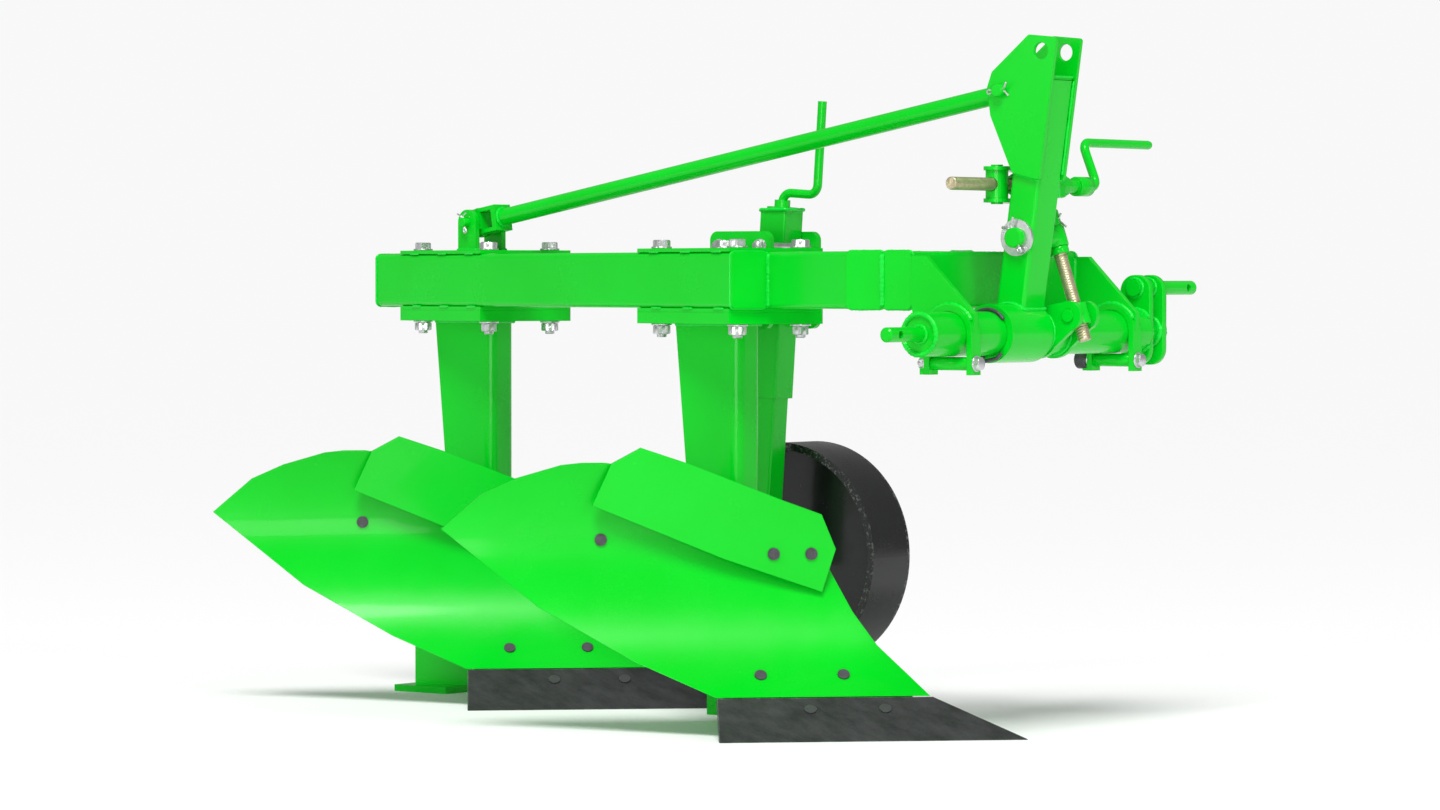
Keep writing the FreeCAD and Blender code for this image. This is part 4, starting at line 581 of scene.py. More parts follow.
def thread(mesh, start, axis, length, radius, depth=0.8, pitch=PITCH):
    """A screw thread with a pointed ridge and chamfered ends."""
    chamfer = 1.0
    axis = axis.normalized()
    first, second = frame_of(axis)
    steps = int(length / pitch * THREAD_ROWS)
    rows = []
    for step in range(steps + 1):
        along = length * step / steps
        end = min(along, length - along)
        row = []
        for index in range(THREAD_SIDES):
            turn = 2 * math.pi * index / THREAD_SIDES
            phase = (along / pitch - index / THREAD_SIDES) % 1.0
            ridge = 1.0 - abs(phase - 0.5) * 2
            reach = radius - depth * (1 - ridge) - max(0.0, chamfer - end)
            row.append(round_point(start + axis * along, first, second, reach, turn))
        rows.append(row)
    mesh.loft(rows)


def hex_block(mesh, start, axis, height, corner_radius, both, spin):
    """A hexagonal head or nut with the round chamfer a real one has, on its far end or on both."""
    axis = axis.normalized()
    first, second = frame_of(axis)
    flat = corner_radius * math.cos(math.pi / 6)
    face_radius = flat * 0.97
    slope = 0.58
    rim = 0.4

    def hexagon(along, sign):
        """A row round the flats, whose corners stand back from the end that the sign points at."""
        row = []
        for index in range(HEX_SIDES):
            turn = 2 * math.pi * index / HEX_SIDES + spin
            side = (turn - spin) % (math.pi / 3) - math.pi / 6
            reach = flat / math.cos(side)
            drop = (reach - flat) * slope
            row.append(round_point(start + axis * (along - sign * drop), first, second, reach, turn))
        return row

    def face_circle(along):
        """The round rim of a chamfered face."""
        turns = [2 * math.pi * index / HEX_SIDES + spin for index in range(HEX_SIDES)]
        return [round_point(start + axis * along, first, second, face_radius, turn) for turn in turns]

    rows = [face_circle(0.0), hexagon(rim, -1)] if both else [hexagon(0.0, 0)]
    mesh.loft(rows + [hexagon(height - rim, 1), face_circle(height)])


def hex_bolt(mesh, head_seat, axis, grip, diameter, spin):
    """A bolt with washers and nut: its head bears at the seat, and its nut a grip further on."""
    axis = axis.normalized()
    washer = diameter * 0.19
    corner = diameter * 0.87
    head = diameter * 0.65
    nut = diameter * 0.85
    tip_start = diameter * 0.8
    tip = diameter * 0.35
    nut_spin = spin + 0.35
    for seat, way in ((head_seat, -axis), (head_seat + axis * grip, axis)):
        bar(mesh, seat, way, washer, diameter, (0.5, 0.5), 40)
    bar(mesh, head_seat, axis, grip, diameter / 2, count=28)
    hex_block(mesh, head_seat - axis * washer, -axis, head, corner, False, spin)
    nut_seat = head_seat + axis * (grip + washer)
    hex_block(mesh, nut_seat, axis, nut, corner, True, nut_spin)
    thread(mesh, nut_seat + axis * tip_start, axis, tip, diameter / 2, depth=0.6, pitch=FINE_PITCH)


def cotter(mesh, centre, axis, sideways, reach, wire=1.6, splay=9.0):
    """A split pin through a bar: a round eye on one side, two legs bent apart on the other."""
    axis = axis.normalized()
    sideways = sideways.normalized()
    eye = 3.2
    head = centre - axis * reach * 0.5
    path = []
    for along, aside in ((0.75, splay + wire), (0.55, wire * 2), (0.4, wire)):
        path.append(centre + axis * (reach * along) - sideways * aside)
    path.append(head - sideways * wire)
    top = centre - axis * (reach * 0.5 + eye * 1.6)
    for turn in [math.radians(angle) for angle in range(-130, 131, 20)]:
        path.append(top + sideways * (eye * math.sin(turn)) - axis * (eye * math.cos(turn)))
    path.append(head + sideways * wire)
    for along, aside in ((0.4, wire), (0.6, wire * 2), (0.85, splay + wire)):
        path.append(centre + axis * (reach * along) + sideways * aside)
    rows = divided(path, 1.5)
    sweep(mesh, rows, [wire] * len(rows), 8)


def put(name, data):
    """Link a new object with this data to the scene."""
    thing = bpy.data.objects.new(name, data)
    bpy.context.scene.collection.objects.link(thing)
    return thing


def mount(data, body, replaced, sharp):
    """Shade a mesh and make it a piece that rides on a body."""
    piece = put(data.name, data)
    data.shade_smooth()
    data.set_sharp_from_angle(angle=math.radians(sharp))
    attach(piece, body)
    if replaced:
        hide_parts(*replaced)


def make(name, body, mesh, finishes, replaced=()):
    """Turn a gathered mesh into a piece with its finishes."""
    data = bpy.data.meshes.new(name)
    data.from_pydata([(point + ORIGIN) / 1000 for point in mesh.points], [], mesh.faces)
    for finish in finishes:
        data.materials.append(MATERIALS[finish])
    data.polygons.foreach_set("material_index", mesh.finishes)
    data.update()
    data.validate()
    mount(data, body, replaced, SHARP_ANGLE)


def beam_point(p, side, z):
    """A point along and across the askew beams, from the front leg's axis."""
    return LEG + ALONG * p + ASIDE * side + Z * z


def node_points(node):
    """A CAD part's corners, in millimetres from the cross shaft's axis."""
    return [vertex.co * 1000 - ORIGIN for vertex in nodes[node].data.vertices]


def mast_section(height):
    """Where the middle of the mast is at a height."""
    return MAST_FOOT + (height - SHAFT_Z) * math.tan(MAST_LEAN)


def stay_run():
    """The stay's rear joint, the way from it to the stay's eye, and the level directions along and across."""
    joint = beam_point(*STAY_JOINT)
    run = STAY_EYE - joint
    level = Vector((run.x, run.y, 0)).normalized()
    return joint, run, level, Z.cross(level)


def tilt_line():
    """The levelling screw's upper pivot and the way down it to its nut."""
    top = Vector((mast_section(PIN_Z), TILT_Y, PIN_Z))
    low = Vector((TILT_X, TILT_Y, SHAFT_Z + TILT_RISE))
    return top, low - top


# Plough bottoms

def trimmed(name, node, point, normal):
    """A copy of a CAD part cut off square at a plane; what lies on the normal's side goes."""
    data = nodes[node].data.copy()
    data.name = name
    form = bmesh.new()
    form.from_mesh(data)
    bmesh.ops.remove_doubles(form, verts=form.verts, dist=1e-6)
    everything = form.verts[:] + form.edges[:] + form.faces[:]
    place = (point + ORIGIN) / 1000
    cut = bmesh.ops.bisect_plane(form, geom=everything, plane_co=place, plane_no=normal, clear_outer=True)
    rim = [part for part in cut["geom_cut"] if isinstance(part, bmesh.types.BMEdge)]
    bmesh.ops.holes_fill(form, edges=rim, sides=0)
    form.to_mesh(data)
    form.free()
    data.materials.clear()
    data.materials.append(MATERIALS["green_paint"])
    mount(data, "frame", [node], CUT_ANGLE)


def trimmed_bottoms():
    """Both frogs dressed off at the landside, and the front landside cut short behind its leg."""
    for prefix, p in LEGS:
        foot = beam_point(p, 0.0, 0.0)
        trimmed(prefix + "_dressed_frog", prefix + "_frog", foot + Y * FROG_SIDE, Y)
    trimmed("front_short_landside", "front_landside", Vector((SHORT_LANDSIDE, 0, 0)), -X)


def islands(data):
    """A mesh's separate solids, as lists of faces."""
    leader = list(range(len(data.vertices)))

    def find(index):
        """The corner that leads the group of this one."""
        while leader[index] != index:
            leader[index] = leader[leader[index]]
            index = leader[index]
        return index

    places = {}
    for vertex in data.vertices:
        key = tuple(round(value * 1e5) for value in vertex.co)
        leader[find(vertex.index)] = find(places.setdefault(key, vertex.index))
    for edge in data.edges:
        leader[find(edge.vertices[0])] = find(edge.vertices[1])
    groups = {}
    for face in data.polygons:
        groups.setdefault(find(face.vertices[0]), []).append(face)
    return list(groups.values())


def head_of(faces):
    """The middle and the direction of a plough bolt's flat head."""
    near_side = -0.2
    areas = {}
    for face in faces:
        if face.normal.y < near_side:
            key = tuple(round(value, 2) for value in face.normal)
            areas.setdefault(key, []).append(face)
    flat = max(areas.values(), key=lambda group: sum(face.area for face in group))
    total = sum(face.area for face in flat)
    middle = sum((face.center * face.area for face in flat), Vector()) / total
    return middle * 1000 - ORIGIN, flat[0].normal.copy()


def bolt_heads():
    """Wide low heads with a chamfered rim on the bolts of mouldboards and trash boards."""
    profile = [(-1.2, 13.0), (-1.0, 13.8), (1.0, 13.8), (1.9, 12.7), (2.3, 9.0), (2.5, 0.5)]
    for prefix, _ in LEGS:
        mesh = Mesh()
        for faces in islands(nodes[prefix + "_plough_bolts"].data):
            middle, out = head_of(faces)
            if middle.z > SHARE_TOP:
                revolve(mesh, middle, out, profile, 40)
        make(prefix + "_bolt_heads", "frame", mesh, ["dark_bolts"])


def landside_bolts():
    """Bolts with a socket that hold the landsides to their frogs, seen from the land side."""
    height = 54.0
    profile = [(-1.0, 11.0), (0.6, 11.0), (1.2, 10.2), (1.2, 5.6), (0.3, 5.0)]
    for prefix, p in LEGS:
        mesh = Mesh()
        for x in (10.0, 108.0, 176.0):
            seat = beam_point(p, 0.0, 0.0) + X * x + Y * LANDSIDE_FACE + Z * height
            revolve(mesh, seat, Y, profile, 36)
        make(prefix + "_landside_bolts", "frame", mesh, ["dark_bolts"])


# Welds

def upright_bead(mesh, foot, inset, size, seed):
    """A bead up the side of a beam, from near its bottom to near its top."""
    bead(mesh, [foot + Z * (BEAM_LOW + inset), foot + Z * (BEAM_TOP - inset)], size, seed)


def cap_beads(mesh):
    """Round the caps on the beams' open ends, and where the wheel beam meets the cross member."""
    half_high = HALF_HIGH + BEAD_GAP
    half_wide = HALF_WIDE + BEAD_GAP
    for number, p in enumerate((MAIN_FRONT - END_CAP, MAIN_REAR + END_CAP)):
        middle = beam_point(p, MAIN_SIDE, BEAM_MIDDLE)
        box_bead(mesh, middle, ASIDE, Z, half_wide, half_high, CORNER, size=1.8, seed=number)
    beams = ((CROSS_REAR + HALF_WIDE, HALF_WIDE), (HEAD_FRONT - HEAD_HALF, HEAD_HALF))
    for number, (x, half) in enumerate(beams):
        for y in (FRAME_NEAR + END_CAP, FRAME_FAR - END_CAP):
            middle = Vector((x, y, BEAM_MIDDLE))
            box_bead(mesh, middle, X, Z, half + BEAD_GAP, half_high, CORNER, size=2.0, seed=number + 5)
    rear = Vector((WHEEL_BEAM_REAR, WHEEL_BEAM_Y, BEAM_MIDDLE))
    box_bead(mesh, rear, Y, Z, half_wide, half_high, CORNER, size=1.8, seed=9)
    root = Vector((CROSS_REAR - 1.0, WHEEL_BEAM_Y, BEAM_MIDDLE))
    box_bead(mesh, root, Y, Z, HALF_WIDE, HALF_HIGH, CORNER, size=3.0, seed=10)


def beam_beads(mesh):
    """Where the link beam meets the main beam and the cross member, and this the head member."""
    seam = MAIN_SIDE + HALF_WIDE
    link_y = -132.0
    upright_bead(mesh, beam_point(MAIN_FRONT + 1.0, seam + 1.0, 0.0), 3.0, size=4.0, seed=11)
    for z in (BEAM_TOP - 2.0, BEAM_LOW + 2.0):
        bead(mesh, [beam_point(126.0, seam, z), beam_point(MAIN_FRONT, seam, z)], size=2.6, seed=12)
        rear = [Vector((CROSS_REAR, y, z)) for y in (FRAME_NEAR + 6.0, link_y - 2.0)]
        bead(mesh, rear, size=2.6, seed=13)
        front = [Vector((CROSS_FRONT, y, z)) for y in (FRAME_NEAR + 2.0, FRAME_FAR - 2.0)]
        bead(mesh, front, size=2.6, seed=14)
    upright_bead(mesh, Vector((CROSS_REAR, link_y, 0)), 5.0, size=4.2, seed=15)
    for y in (FRAME_NEAR - BEAD_GAP, FRAME_FAR + BEAD_GAP):
        upright_bead(mesh, Vector((CROSS_FRONT, y, 0)), 4.0, size=4.2, seed=16)


def gusset_beads(mesh):
    """The gussets' inner faces on the head member, and both their faces on the straps."""
    for y in (FRAME_NEAR + GUSSET_HALF, FRAME_FAR - GUSSET_HALF):
        for side in (-1, 1):
            face = y + side * (GUSSET_HALF + 0.6)
            if FRAME_NEAR < face < FRAME_FAR:
                seam = [Vector((HEAD_FRONT + 1.0, face, z)) for z in (BEAM_LOW + 10.0, BEAM_TOP - 9.0)]
                bead(mesh, seam, size=3.8, seed=17)
            centre = Vector((0, face + side * 0.8, SHAFT_Z))
            bead(mesh, arc(centre, X, Z, STRAP_R + 0.6, 28.0, 196.0), size=4.4, seed=18)


def leg_beads(mesh):
    """The legs under their flanges and on the frogs' feet, and short runs along the beam's plates."""
    half_wide = 30.5
    top_half = 61.5
    foot_half = 37.0
    corner = 8.0
    run = 26.0
    under_flange = Z * (BEAM_LOW - PLATE - FLANGE - 1.0)
    on_frog = Z * 97.0
    near = -FLANGE_WIDE / 2 - BEAD_GAP
    for _, p in LEGS:
        foot = beam_point(p, 0.0, 0.0)
        top = foot + X * -23.0 + under_flange
        box_bead(mesh, top, X, Y, top_half, half_wide, corner, size=3.4, seed=19)
        box_bead(mesh, foot + X * 1.0 + on_frog, X, Y, foot_half, half_wide, corner, size=3.0, seed=20)
        for number, z in enumerate((BEAM_TOP + 0.4, BEAM_LOW - 0.4)):
            for along in (-92.0, -6.0, 78.0):
                start = beam_point(p + along + 7 * number, near, z)
                bead(mesh, [start, start + ALONG * run], size=1.9, seed=21 + number)


def stand_beads(mesh):
    """The side-shift post and its clevis, and the stay's ears on the rear plate."""
    for z, size, seed in ((BEAM_TOP + 1.0, 3.0, 23), (SHIFT_Z - 21.0, 1.6, 24), (SHIFT_Z - 27.0, 1.6, 24)):
        box_bead(mesh, POST + Z * z, X, Y, POST_HALF, POST_HALF, 2.0, size, seed)
    joint, _, level, across = stay_run()
    foot = joint - Z * joint.z
    for side in (-1, 1):
        base = foot + across * (side * 29.5) + Z * (BEAM_TOP + PLATE + 1.0)
        box_bead(mesh, base, level, across, 21.4, 5.0, 1.5, size=2.6, seed=25)


def frame_welds():
    """Beads round the beams, caps, plates, gussets, legs and brackets."""
    mesh = Mesh()
    cap_beads(mesh)
    beam_beads(mesh)
    gusset_beads(mesh)
    leg_beads(mesh)
    stand_beads(mesh)
    make("frame_welds", "frame", mesh, ["weld"])


def link_cap():
    """The flat plate that closes the link beam's rear end, and the bead round it."""
    corner = CORNER - 3.0
    points = node_points("link_beam")
    rear = min((point - LEG).dot(ALONG) for point in points)
    end = [point for point in points if (point - LEG).dot(ALONG) < rear + 3.0]
    side = sum((point - LEG).dot(ASIDE) for point in end) / len(end)
    middle = beam_point(rear, side, BEAM_MIDDLE)
    mesh = Mesh()
    rows = []
    for out, inset in ((-4.0, 5.4), (1.0, 5.4), (2.0, 6.4)):
        place = middle - ALONG * out
        rows.append(rectangle(place, ASIDE, Z, HALF_WIDE - inset, HALF_HIGH - inset, corner, 5))
    mesh.loft(rows)
    seam = middle - ALONG * 0.6
    box_bead(mesh, seam, ASIDE, Z, HALF_WIDE - 4.6, HALF_HIGH - 4.6, corner + 1.0, size=2.4, seed=71)
    make("link_beam_cap", "frame", mesh, ["green_paint"])


def mast_foot_path():
    """The line where the leaning mast's outline meets its round sleeve."""
    outline = rectangle(Vector((0, 0, 0)), X, Y, MAST_DEEP / 2 + 1.2, MAST_WIDE / 2 + 1.2, 5.0, 3)
    widest = SLEEVE_R - 1.0
    path = []
    for corner in divided(outline, 4.0, True):
        x = MAST_FOOT + corner.x
        for _ in range(4):
            lift = math.sqrt(max(0.0, (SLEEVE_R + 0.5) ** 2 - min(x * x, widest ** 2)))
            x = MAST_FOOT + corner.x + lift * math.tan(MAST_LEAN)
        x = max(-widest, min(widest, x))
        path.append(Vector((x, MAST_Y + corner.y, SHAFT_Z + lift)))
    return path


def headstock_welds():
    """Beads at the mast's foot, cheeks and top, and at the side-shift bearing."""
    mesh = Mesh()
    bead(mesh, mast_foot_path(), 3.0, 31, True)
    front_heights = (846.0, 986.0)
    rear_heights = (868.0, 902.0)
    low_edge = ((14.0, 847.5), (54.0, 837.5))
    front = MAST_DEEP / 2 / math.cos(MAST_LEAN)
    for side in (-1, 1):
        edge = MAST_Y + side * (MAST_WIDE / 2 - 1.0)
        face = MAST_Y + side * (MAST_WIDE / 2 + 1.0)
        ahead = [Vector((mast_section(z) + front + 0.6, edge, z)) for z in front_heights]
        bead(mesh, ahead, size=2.2, seed=32)
        bead(mesh, [Vector((x, face, z)) for x, z in low_edge], size=2.6, seed=33)
        behind = [Vector((mast_section(z) - front + 1.0, face, z)) for z in rear_heights]
        bead(mesh, behind, size=1.8, seed=34)
    top = Vector((mast_section(MAST_TOP), MAST_Y, MAST_TOP + 1.5))
    box_bead(mesh, top, X, Y, 25.0, 29.0, 3.0, size=2.0, seed=35)
    saddle = Vector((mast_section(SHIFT_Z), MAST_Y + MAST_WIDE / 2 + 1.0, SHIFT_Z - 9.0))
    box_bead(mesh, saddle, X, Z, 20.5, 9.8, 1.5, size=2.2, seed=36)
    make("headstock_welds", "headstock", mesh, ["weld"])


def mast_lid():
    """The plate that closes the mast's top between the cheeks."""
    mesh = Mesh()
    middle = Vector((mast_section(MAST_TOP), MAST_Y, MAST_TOP - 3.0))
    rows = []
    for lift, inset in ((0.0, 0.0), (3.4, 0.0), (4.2, 0.8)):
        rows.append(rectangle(middle + Z * lift, X, Y, 24.6 - inset, 29.4 - inset, 5.0))
    mesh.loft(rows)
    make("mast_lid", "headstock", mesh, ["green_paint"])


def shaft_welds():
    """Beads round the near plug, the screw's ears and the crank arms."""
    mesh = Mesh()
    axis = Vector((0, 0, SHAFT_Z))
    ring_bead(mesh, axis + Y * (SHAFT_NEAR - 0.2), 29.5, size=4.0, seed=41)
    ring_bead(mesh, axis + Y * (SHAFT_NEAR - 0.4), 12.6, size=3.0, seed=42)
    for number, along in enumerate((-27.8, -17.2, 17.2, 27.8)):
        ring_bead(mesh, axis + Y * (TILT_Y + along), SHAFT_R + 0.8, size=2.4, seed=43 + number)
    for start in (38.0, 218.0):
        part_ring = arc(axis + Y * (SHAFT_FAR - 0.6), X, Z, SHAFT_R + 0.4, start, start + 104.0)
        bead(mesh, part_ring, size=4.0, seed=47)
    outer = SHAFT_FAR + ARM_THICK
    far_arm = outer + ARM_GAP
    for y in (outer + 0.6, far_arm - 0.6, far_arm + ARM_THICK + 0.3):
        ring_bead(mesh, axis + Y * y, 22.0, size=4.2, seed=48)
    pin = axis + Z * 67.0
    for y in (SHAFT_FAR - 0.5, outer + 0.5, far_arm - 0.5, far_arm + ARM_THICK + 0.5):
        ring_bead(mesh, pin + Y * y, 14.4, size=2.6, seed=49)
    make("shaft_welds", "shaft", mesh, ["weld"])


def sleeve_welds():
    """The bead round the cap of the wheel column's sleeve."""
    mesh = Mesh()
    points = node_points("column_sleeve")
    top = max(point.z for point in points)
    rim = [point for point in points if point.z > top - 5.0]
    middle = sum(rim, Vector()) / len(rim)
    half_long = max(abs(point.x - middle.x) for point in rim)
    half_wide = max(abs(point.y - middle.y) for point in rim)
    box_bead(mesh, middle - Z * 1.5, X, Y, half_long, half_wide, 3.0, size=3.2, seed=61)
    make("sleeve_welds", "frame", mesh, ["weld"])


def stay_welds():
    """Beads at the stay's fork and eye."""
    mesh = Mesh()
    joint, run, _, _ = stay_run()
    way = run.normalized()
    first, second = frame_of(way)
    for along, radius, size, seed in ((53.0, 14.6, 2.6, 51), (run.length - 18.5, 14.4, 2.4, 52)):
        bead(mesh, arc(joint + way * along, first, second, radius, 0, 352), size, seed, True)
    make("stay_welds", "stay", mesh, ["weld"])


# Fasteners and screws

def flange_bolts():
    """Zinc bolts through the beam and the legs' flanges, heads up."""
    grip = BEAM_TOP - BEAM_LOW + PLATE * 2 + FLANGE
    chance = random.Random(7)
    for prefix, p in LEGS:
        mesh = Mesh()
        for along in (-103.0, 103.0):
            for side in (-59.0, 59.0):
                seat = beam_point(p + along, side, BEAM_TOP + PLATE)
                hex_bolt(mesh, seat, -Z, grip, FLANGE_BOLT, chance.uniform(0, 1))
        make(prefix + "_hex_bolts", "frame", mesh, ["zinc"], [prefix + "_flange_bolts"])


def clamp_bolts():
    """Zinc bolts that clamp the wheel's sleeve to its beam."""
    mesh = Mesh()
    low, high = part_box("clamp_bolts")
    middle = (low + high) * 500 - ORIGIN
    near_face = 60.0
    grip = 136.0
    half_long = 40.0
    half_high = 53.0
    chance = random.Random(8)
    for x in (-half_long, half_long):
        for z in (-half_high, half_high):
            seat = Vector((middle.x + x, near_face, BEAM_MIDDLE + z))
            hex_bolt(mesh, seat, Y, grip, SMALL_BOLT, chance.uniform(0, 1))
    make("clamp_hex_bolts", "frame", mesh, ["zinc"], ["clamp_bolts"])


def keepers():
    """The bolt and painted spacer that close each strap below the shaft; the far one has a dark knob."""
    drop = SHAFT_Z - KEEPER_DROP
    spacer_half = 33.3
    spacer_r = 10.0
    knob_r = 14.0
    knob = 20.5
    for label, y in (("near", FRAME_NEAR + GUSSET_HALF), ("far", FRAME_FAR - GUSSET_HALF)):
        mesh = Mesh()
        hex_bolt(mesh, Vector((STRAP_R, y, drop)), -X, STRAP_R * 2, SMALL_BOLT, 0.2)
        mesh.finish = 1
        start = Vector((-spacer_half, y, drop))
        bar(mesh, start, X, spacer_half * 2, spacer_r, (0.6, 0.6), 36)
        if label == "far":
            mesh.finish = 2
            bar(mesh, Vector((-STRAP_R - 2.5, y, drop)), -X, knob, knob_r, (1.0, 1.5), 36)
        finishes = ["zinc", "green_paint", "dark_bolts"]
        make(label + "_keeper_bolt", "frame", mesh, finishes, [label + "_keeper"])


def stay_pin():
    """The green pin through the cheeks, held by a split pin at its near end."""
    mesh = Mesh()
    start = STAY_EYE - Y * 47.0
    profile = [(0.0, 8.4), (1.6, 10.0), (83.0, 10.0), (83.1, 15.0), (87.4, 15.0), (88.4, 14.0)]
    revolve(mesh, start, Y, profile, 40)
    mesh.finish = 1
    cotter(mesh, start + Y * 6.0, Vector((1.0, 0.0, 0.12)), Vector((0.0, -0.5, 1.0)), 21.0)
    make("stay_pivot_pin", "headstock", mesh, ["green_paint", "zinc"], ["stay_pin"])


def retaining_ring():
    """The dark spring ring that keeps the mast's sleeve on the shaft, open in front, its tail turned out."""
    wire = 2.9
    step = 3.0
    mesh = Mesh()
    centre = Vector((0, MAST_Y - 87.0, SHAFT_Z))
    round_shaft = divided(arc(centre, X, Z, SHAFT_R + 2.8, 36.0, 262.0, 5), step)
    places = ((26.0, 0.0, -29.0), (20.0, -4.0, -37.0), (4.0, -12.0, -41.0), (-20.0, -22.0, -44.0))
    tail = divided([centre + Vector(place) for place in places], step)
    for path in (round_shaft, tail):
        sweep(mesh, path, [wire] * len(path), 12)
    make("spring_ring", "shaft", mesh, ["dark_bolts"], ["retaining_ring"])


def crank_arms():
    """The two upright arms at the shaft's far end, with round ends, and the stub through them."""
    half = 27.0
    below = 52.0
    above = 87.0
    radius = 25.0
    span = ARM_THICK * 2 + ARM_GAP
    mesh = Mesh()
    for y in (SHAFT_FAR, SHAFT_FAR + ARM_THICK + ARM_GAP):
        middle = Vector((0, y, SHAFT_Z + (above - below) / 2))
        rows = []
        for along, inset in ((0.0, 1.0), (1.0, 0.0), (ARM_THICK - 1.0, 0.0), (ARM_THICK, 1.0)):
            high = (above + below) / 2 - inset
            row = rectangle(middle + Y * along, X, Z, half - inset, high, radius - inset, 10)
            rows.append(list(reversed(row)))
        mesh.loft(rows)
    bar(mesh, Vector((0, SHAFT_FAR - 2.0, SHAFT_Z)), Y, span + 4.0, 20.0, (0.0, 2.0), 44)
    make("round_crank_arms", "shaft", mesh, ["green_paint"], ["crank_arms"])


def mast_pin():
    """The mast pin with the levelling screw's upper boss, held by a split pin before its washer."""
    mesh = Mesh()
    centre = Vector((mast_section(PIN_Z), MAST_Y, PIN_Z))
    bar(mesh, centre - Y * PIN_END, Y, TILT_Y - MAST_Y + PIN_END, PIN_R, (1.4, 0.0), 48)
    top, run = tilt_line()
    way = run.normalized()
    bar(mesh, top - way * TILT_BOSS, way, TILT_BOSS * 2, PIN_R + 2.0, (1.2, 1.2), 48)
    mesh.finish = 1
    cotter(mesh, centre - Y * 40.4, Vector((-0.5, 0.0, 1.0)), Vector((1.0, -0.25, 0.5)), 32.0, 2.1, 12.0)
    make("mast_pivot_pin", "trunnion", mesh, ["green_paint", "zinc"], ["mast_pin"])


def joint_pin_cotter():
    """The end of the stay's rear pivot pin outside its near ear, and the split pin through it."""
    mesh = Mesh()
    joint, _, level, across = stay_run()
    outside = joint - across * 38.0
    revolve(mesh, outside, -across, [(-4.0, 8.0), (7.0, 8.0), (8.2, 7.0)], 28)
    mesh.finish = 1
    cotter(mesh, outside - across * 3.4, Vector((-0.25, 0.0, 1.0)), level, 19.0, 1.5)
    make("joint_pin_end", "frame", mesh, ["green_paint", "zinc"])


def shift_screw():
    """The side-shift screw: passivated thread, green collars, boss and crank."""
    line = Vector((SHIFT_X, 0, SHIFT_Z))
    collar_ends = (0.8, 0.8)
    boss_ends = (1.4, 1.4)
    mesh = Mesh()
    mesh.finish = 1
    thread(mesh, line + Y * -154.0, Y, 163.0, SCREW_R)
    mesh.finish = 0
    bar(mesh, line + Y * 8.9, Y, COLLAR, COLLAR_R, collar_ends, 36)
    bar(mesh, line + Y * 19.9, Y, 122.0, SCREW_R)
    bar(mesh, line + Y * 141.1, Y, COLLAR, COLLAR_R, collar_ends, 36)
    bar(mesh, line + Y * 152.0, Y, 30.0, SCREW_R)
    bar(mesh, line + Y * 181.0, Y, 36.0, COLLAR_R, boss_ends, 36)
    lean = math.radians(22.0)
    rise = Vector((-math.sin(lean), 0, math.cos(lean)))
    low = line + Y * 244.0
    high = low + rise * 74.0
    path = divided(bent([line + Y * 216.0, low, high, high + Y * 192.0], 16.0), 4.0)
    radii = [7.0] * len(path)
    radii[-1] = 6.0
    sweep(mesh, path, radii, 20)
    make("side_shift_crank", "side_screw", mesh, ["green_paint", "yellow_zinc"], ["shift_screw"])


def tilt_screw():
    """The levelling screw: passivated thread, painted collar and pinned head sleeve."""
    top, run = tilt_line()
    way = run.normalized()
    half = 15.6
    past_nut = 40.0
    mesh = Mesh()
    mesh.finish = 1
    start = half + 10.0
    thread(mesh, top + way * start, way, run.length + past_nut - start, SCREW_R)
    mesh.finish = 0
    bar(mesh, top - way * (half + 31.0), way, half * 2 + 31.0, SCREW_R, (1.2, 0.0))
    bar(mesh, top - way * (half + 26.0), way, 26.0, COLLAR_R, (1.2, 0.8), 36)
    bar(mesh, top + way * half, way, COLLAR, COLLAR_R, (0.8, 0.8), 36)
    mesh.finish = 2
    cotter(mesh, top - way * (half + 13.0), X, way, 30.0, 1.7)
    finishes = ["green_paint", "yellow_zinc", "zinc"]
    make("levelling_spindle", "levelling_screw", mesh, finishes, ["tilt_screw"])


# Setting

def paint_nodes():
    """Give every carried-over CAD node its material by its record slot."""
    for part in frame["record"]["subparts"]:
        for slot in nodes[part["node"]].material_slots:
            slot.material = MATERIALS[part["material_slot"]]


def point_along(thing, direction):
    """Turn a lamp or a camera to look in a direction."""
    thing.rotation_euler = direction.to_track_quat("-Z", "Y").to_euler()


def area_light(name, place, size, power):
    """A soft box that looks at the object."""
    light = bpy.data.lights.new(name, "AREA")
    light.shape = "RECTANGLE"
    light.size, light.size_y = size
    light.energy = power
    lamp = put(name, light)
    lamp.location = place
    point_along(lamp, LIGHT_TARGET - Vector(place))


def ceiling_light():
    """A large soft source far away, as even over the floor as over the object."""
    light = bpy.data.lights.new("ceiling", "SUN")
    light.energy = CEILING_STRENGTH
    light.angle = CEILING_SPREAD
    point_along(put("ceiling", light), -CEILING_FROM)


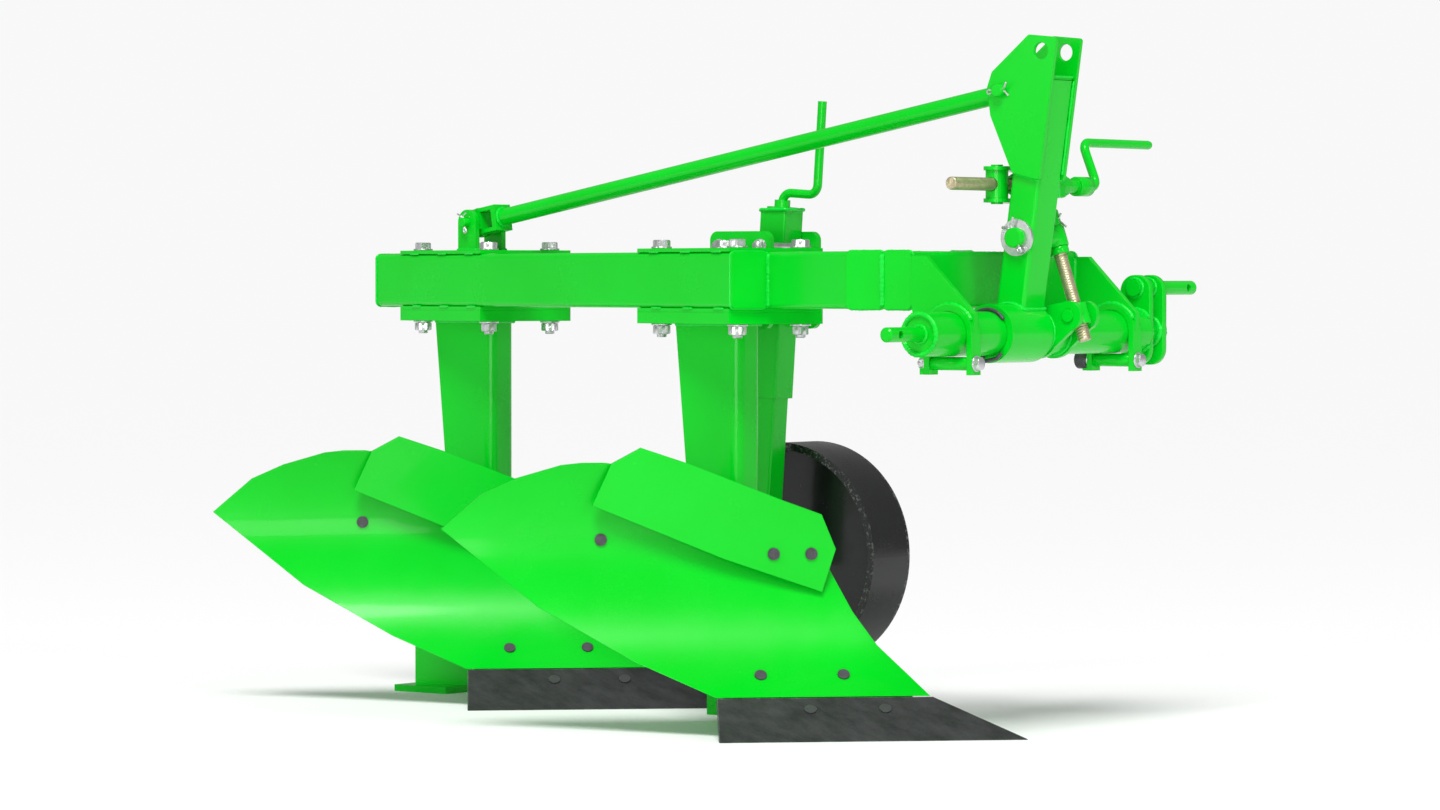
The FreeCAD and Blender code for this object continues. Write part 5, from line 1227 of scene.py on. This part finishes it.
def surroundings():
    """White behind the object, and a dimmer room around it that gives the paint something to reflect."""
    world = bpy.data.worlds.new("studio")
    world.use_nodes = True
    tree = world.node_tree
    room = tree.nodes["Background"]
    room.inputs["Color"].default_value = ROOM_GREY
    backdrop = tree.nodes.new("ShaderNodeBackground")
    backdrop.inputs["Color"].default_value = BACKDROP_WHITE
    path = tree.nodes.new("ShaderNodeLightPath")
    mix = tree.nodes.new("ShaderNodeMixShader")
    tree.links.new(path.outputs["Is Camera Ray"], mix.inputs["Fac"])
    tree.links.new(room.outputs["Background"], mix.inputs[1])
    tree.links.new(backdrop.outputs["Background"], mix.inputs[2])
    tree.links.new(mix.outputs["Shader"], tree.nodes["World Output"].inputs["Surface"])
    bpy.context.scene.world = world


def white_floor():
    """A matt white floor far wider than the view."""
    mesh = bpy.data.meshes.new("floor")
    corners = [(a * FLOOR_REACH, b * FLOOR_REACH, 0) for a, b in ((-1, -1), (1, -1), (1, 1), (-1, 1))]
    mesh.from_pydata(corners, [], [(0, 1, 2, 3)])
    floor = put("floor", mesh)
    material, _, shader = new_material("floor_white")
    shader.inputs["Base Color"].default_value = FLOOR_WHITE
    shader.inputs["Roughness"].default_value = 1.0
    shader.inputs["Specular IOR Level"].default_value = 0.0
    mesh.materials.append(material)


def studio():
    """White floor and surroundings, an even ceiling light and three soft boxes."""
    white_floor()
    surroundings()
    bpy.context.scene.view_settings.view_transform = "Standard"
    ceiling_light()
    for name, place, size, power in SOFT_BOXES:
        area_light(name, place, size, power)


def camera():
    """The camera at the photograph's viewing angle."""
    data = bpy.data.cameras.new("camera")
    data.sensor_width = SENSOR_WIDTH
    data.lens = FOCAL_PIXELS / IMAGE_WIDTH * SENSOR_WIDTH
    data.clip_end = CAMERA_REACH
    holder = put("camera", data)
    level = math.cos(CAMERA_PITCH)
    ahead = math.cos(CAMERA_AZIMUTH) * level
    holder.location = CAMERA_PLACE
    point_along(holder, Vector((-math.sin(CAMERA_AZIMUTH) * level, ahead, math.sin(CAMERA_PITCH))))
    bpy.context.scene.camera = holder


camera()
studio()
paint_nodes()
trimmed_bottoms()
bolt_heads()
landside_bolts()
frame_welds()
headstock_welds()
mast_lid()
shaft_welds()
sleeve_welds()
stay_welds()
link_cap()
flange_bolts()
clamp_bolts()
keepers()
stay_pin()
retaining_ring()
crank_arms()
mast_pin()
joint_pin_cotter()
shift_screw()
tilt_screw()
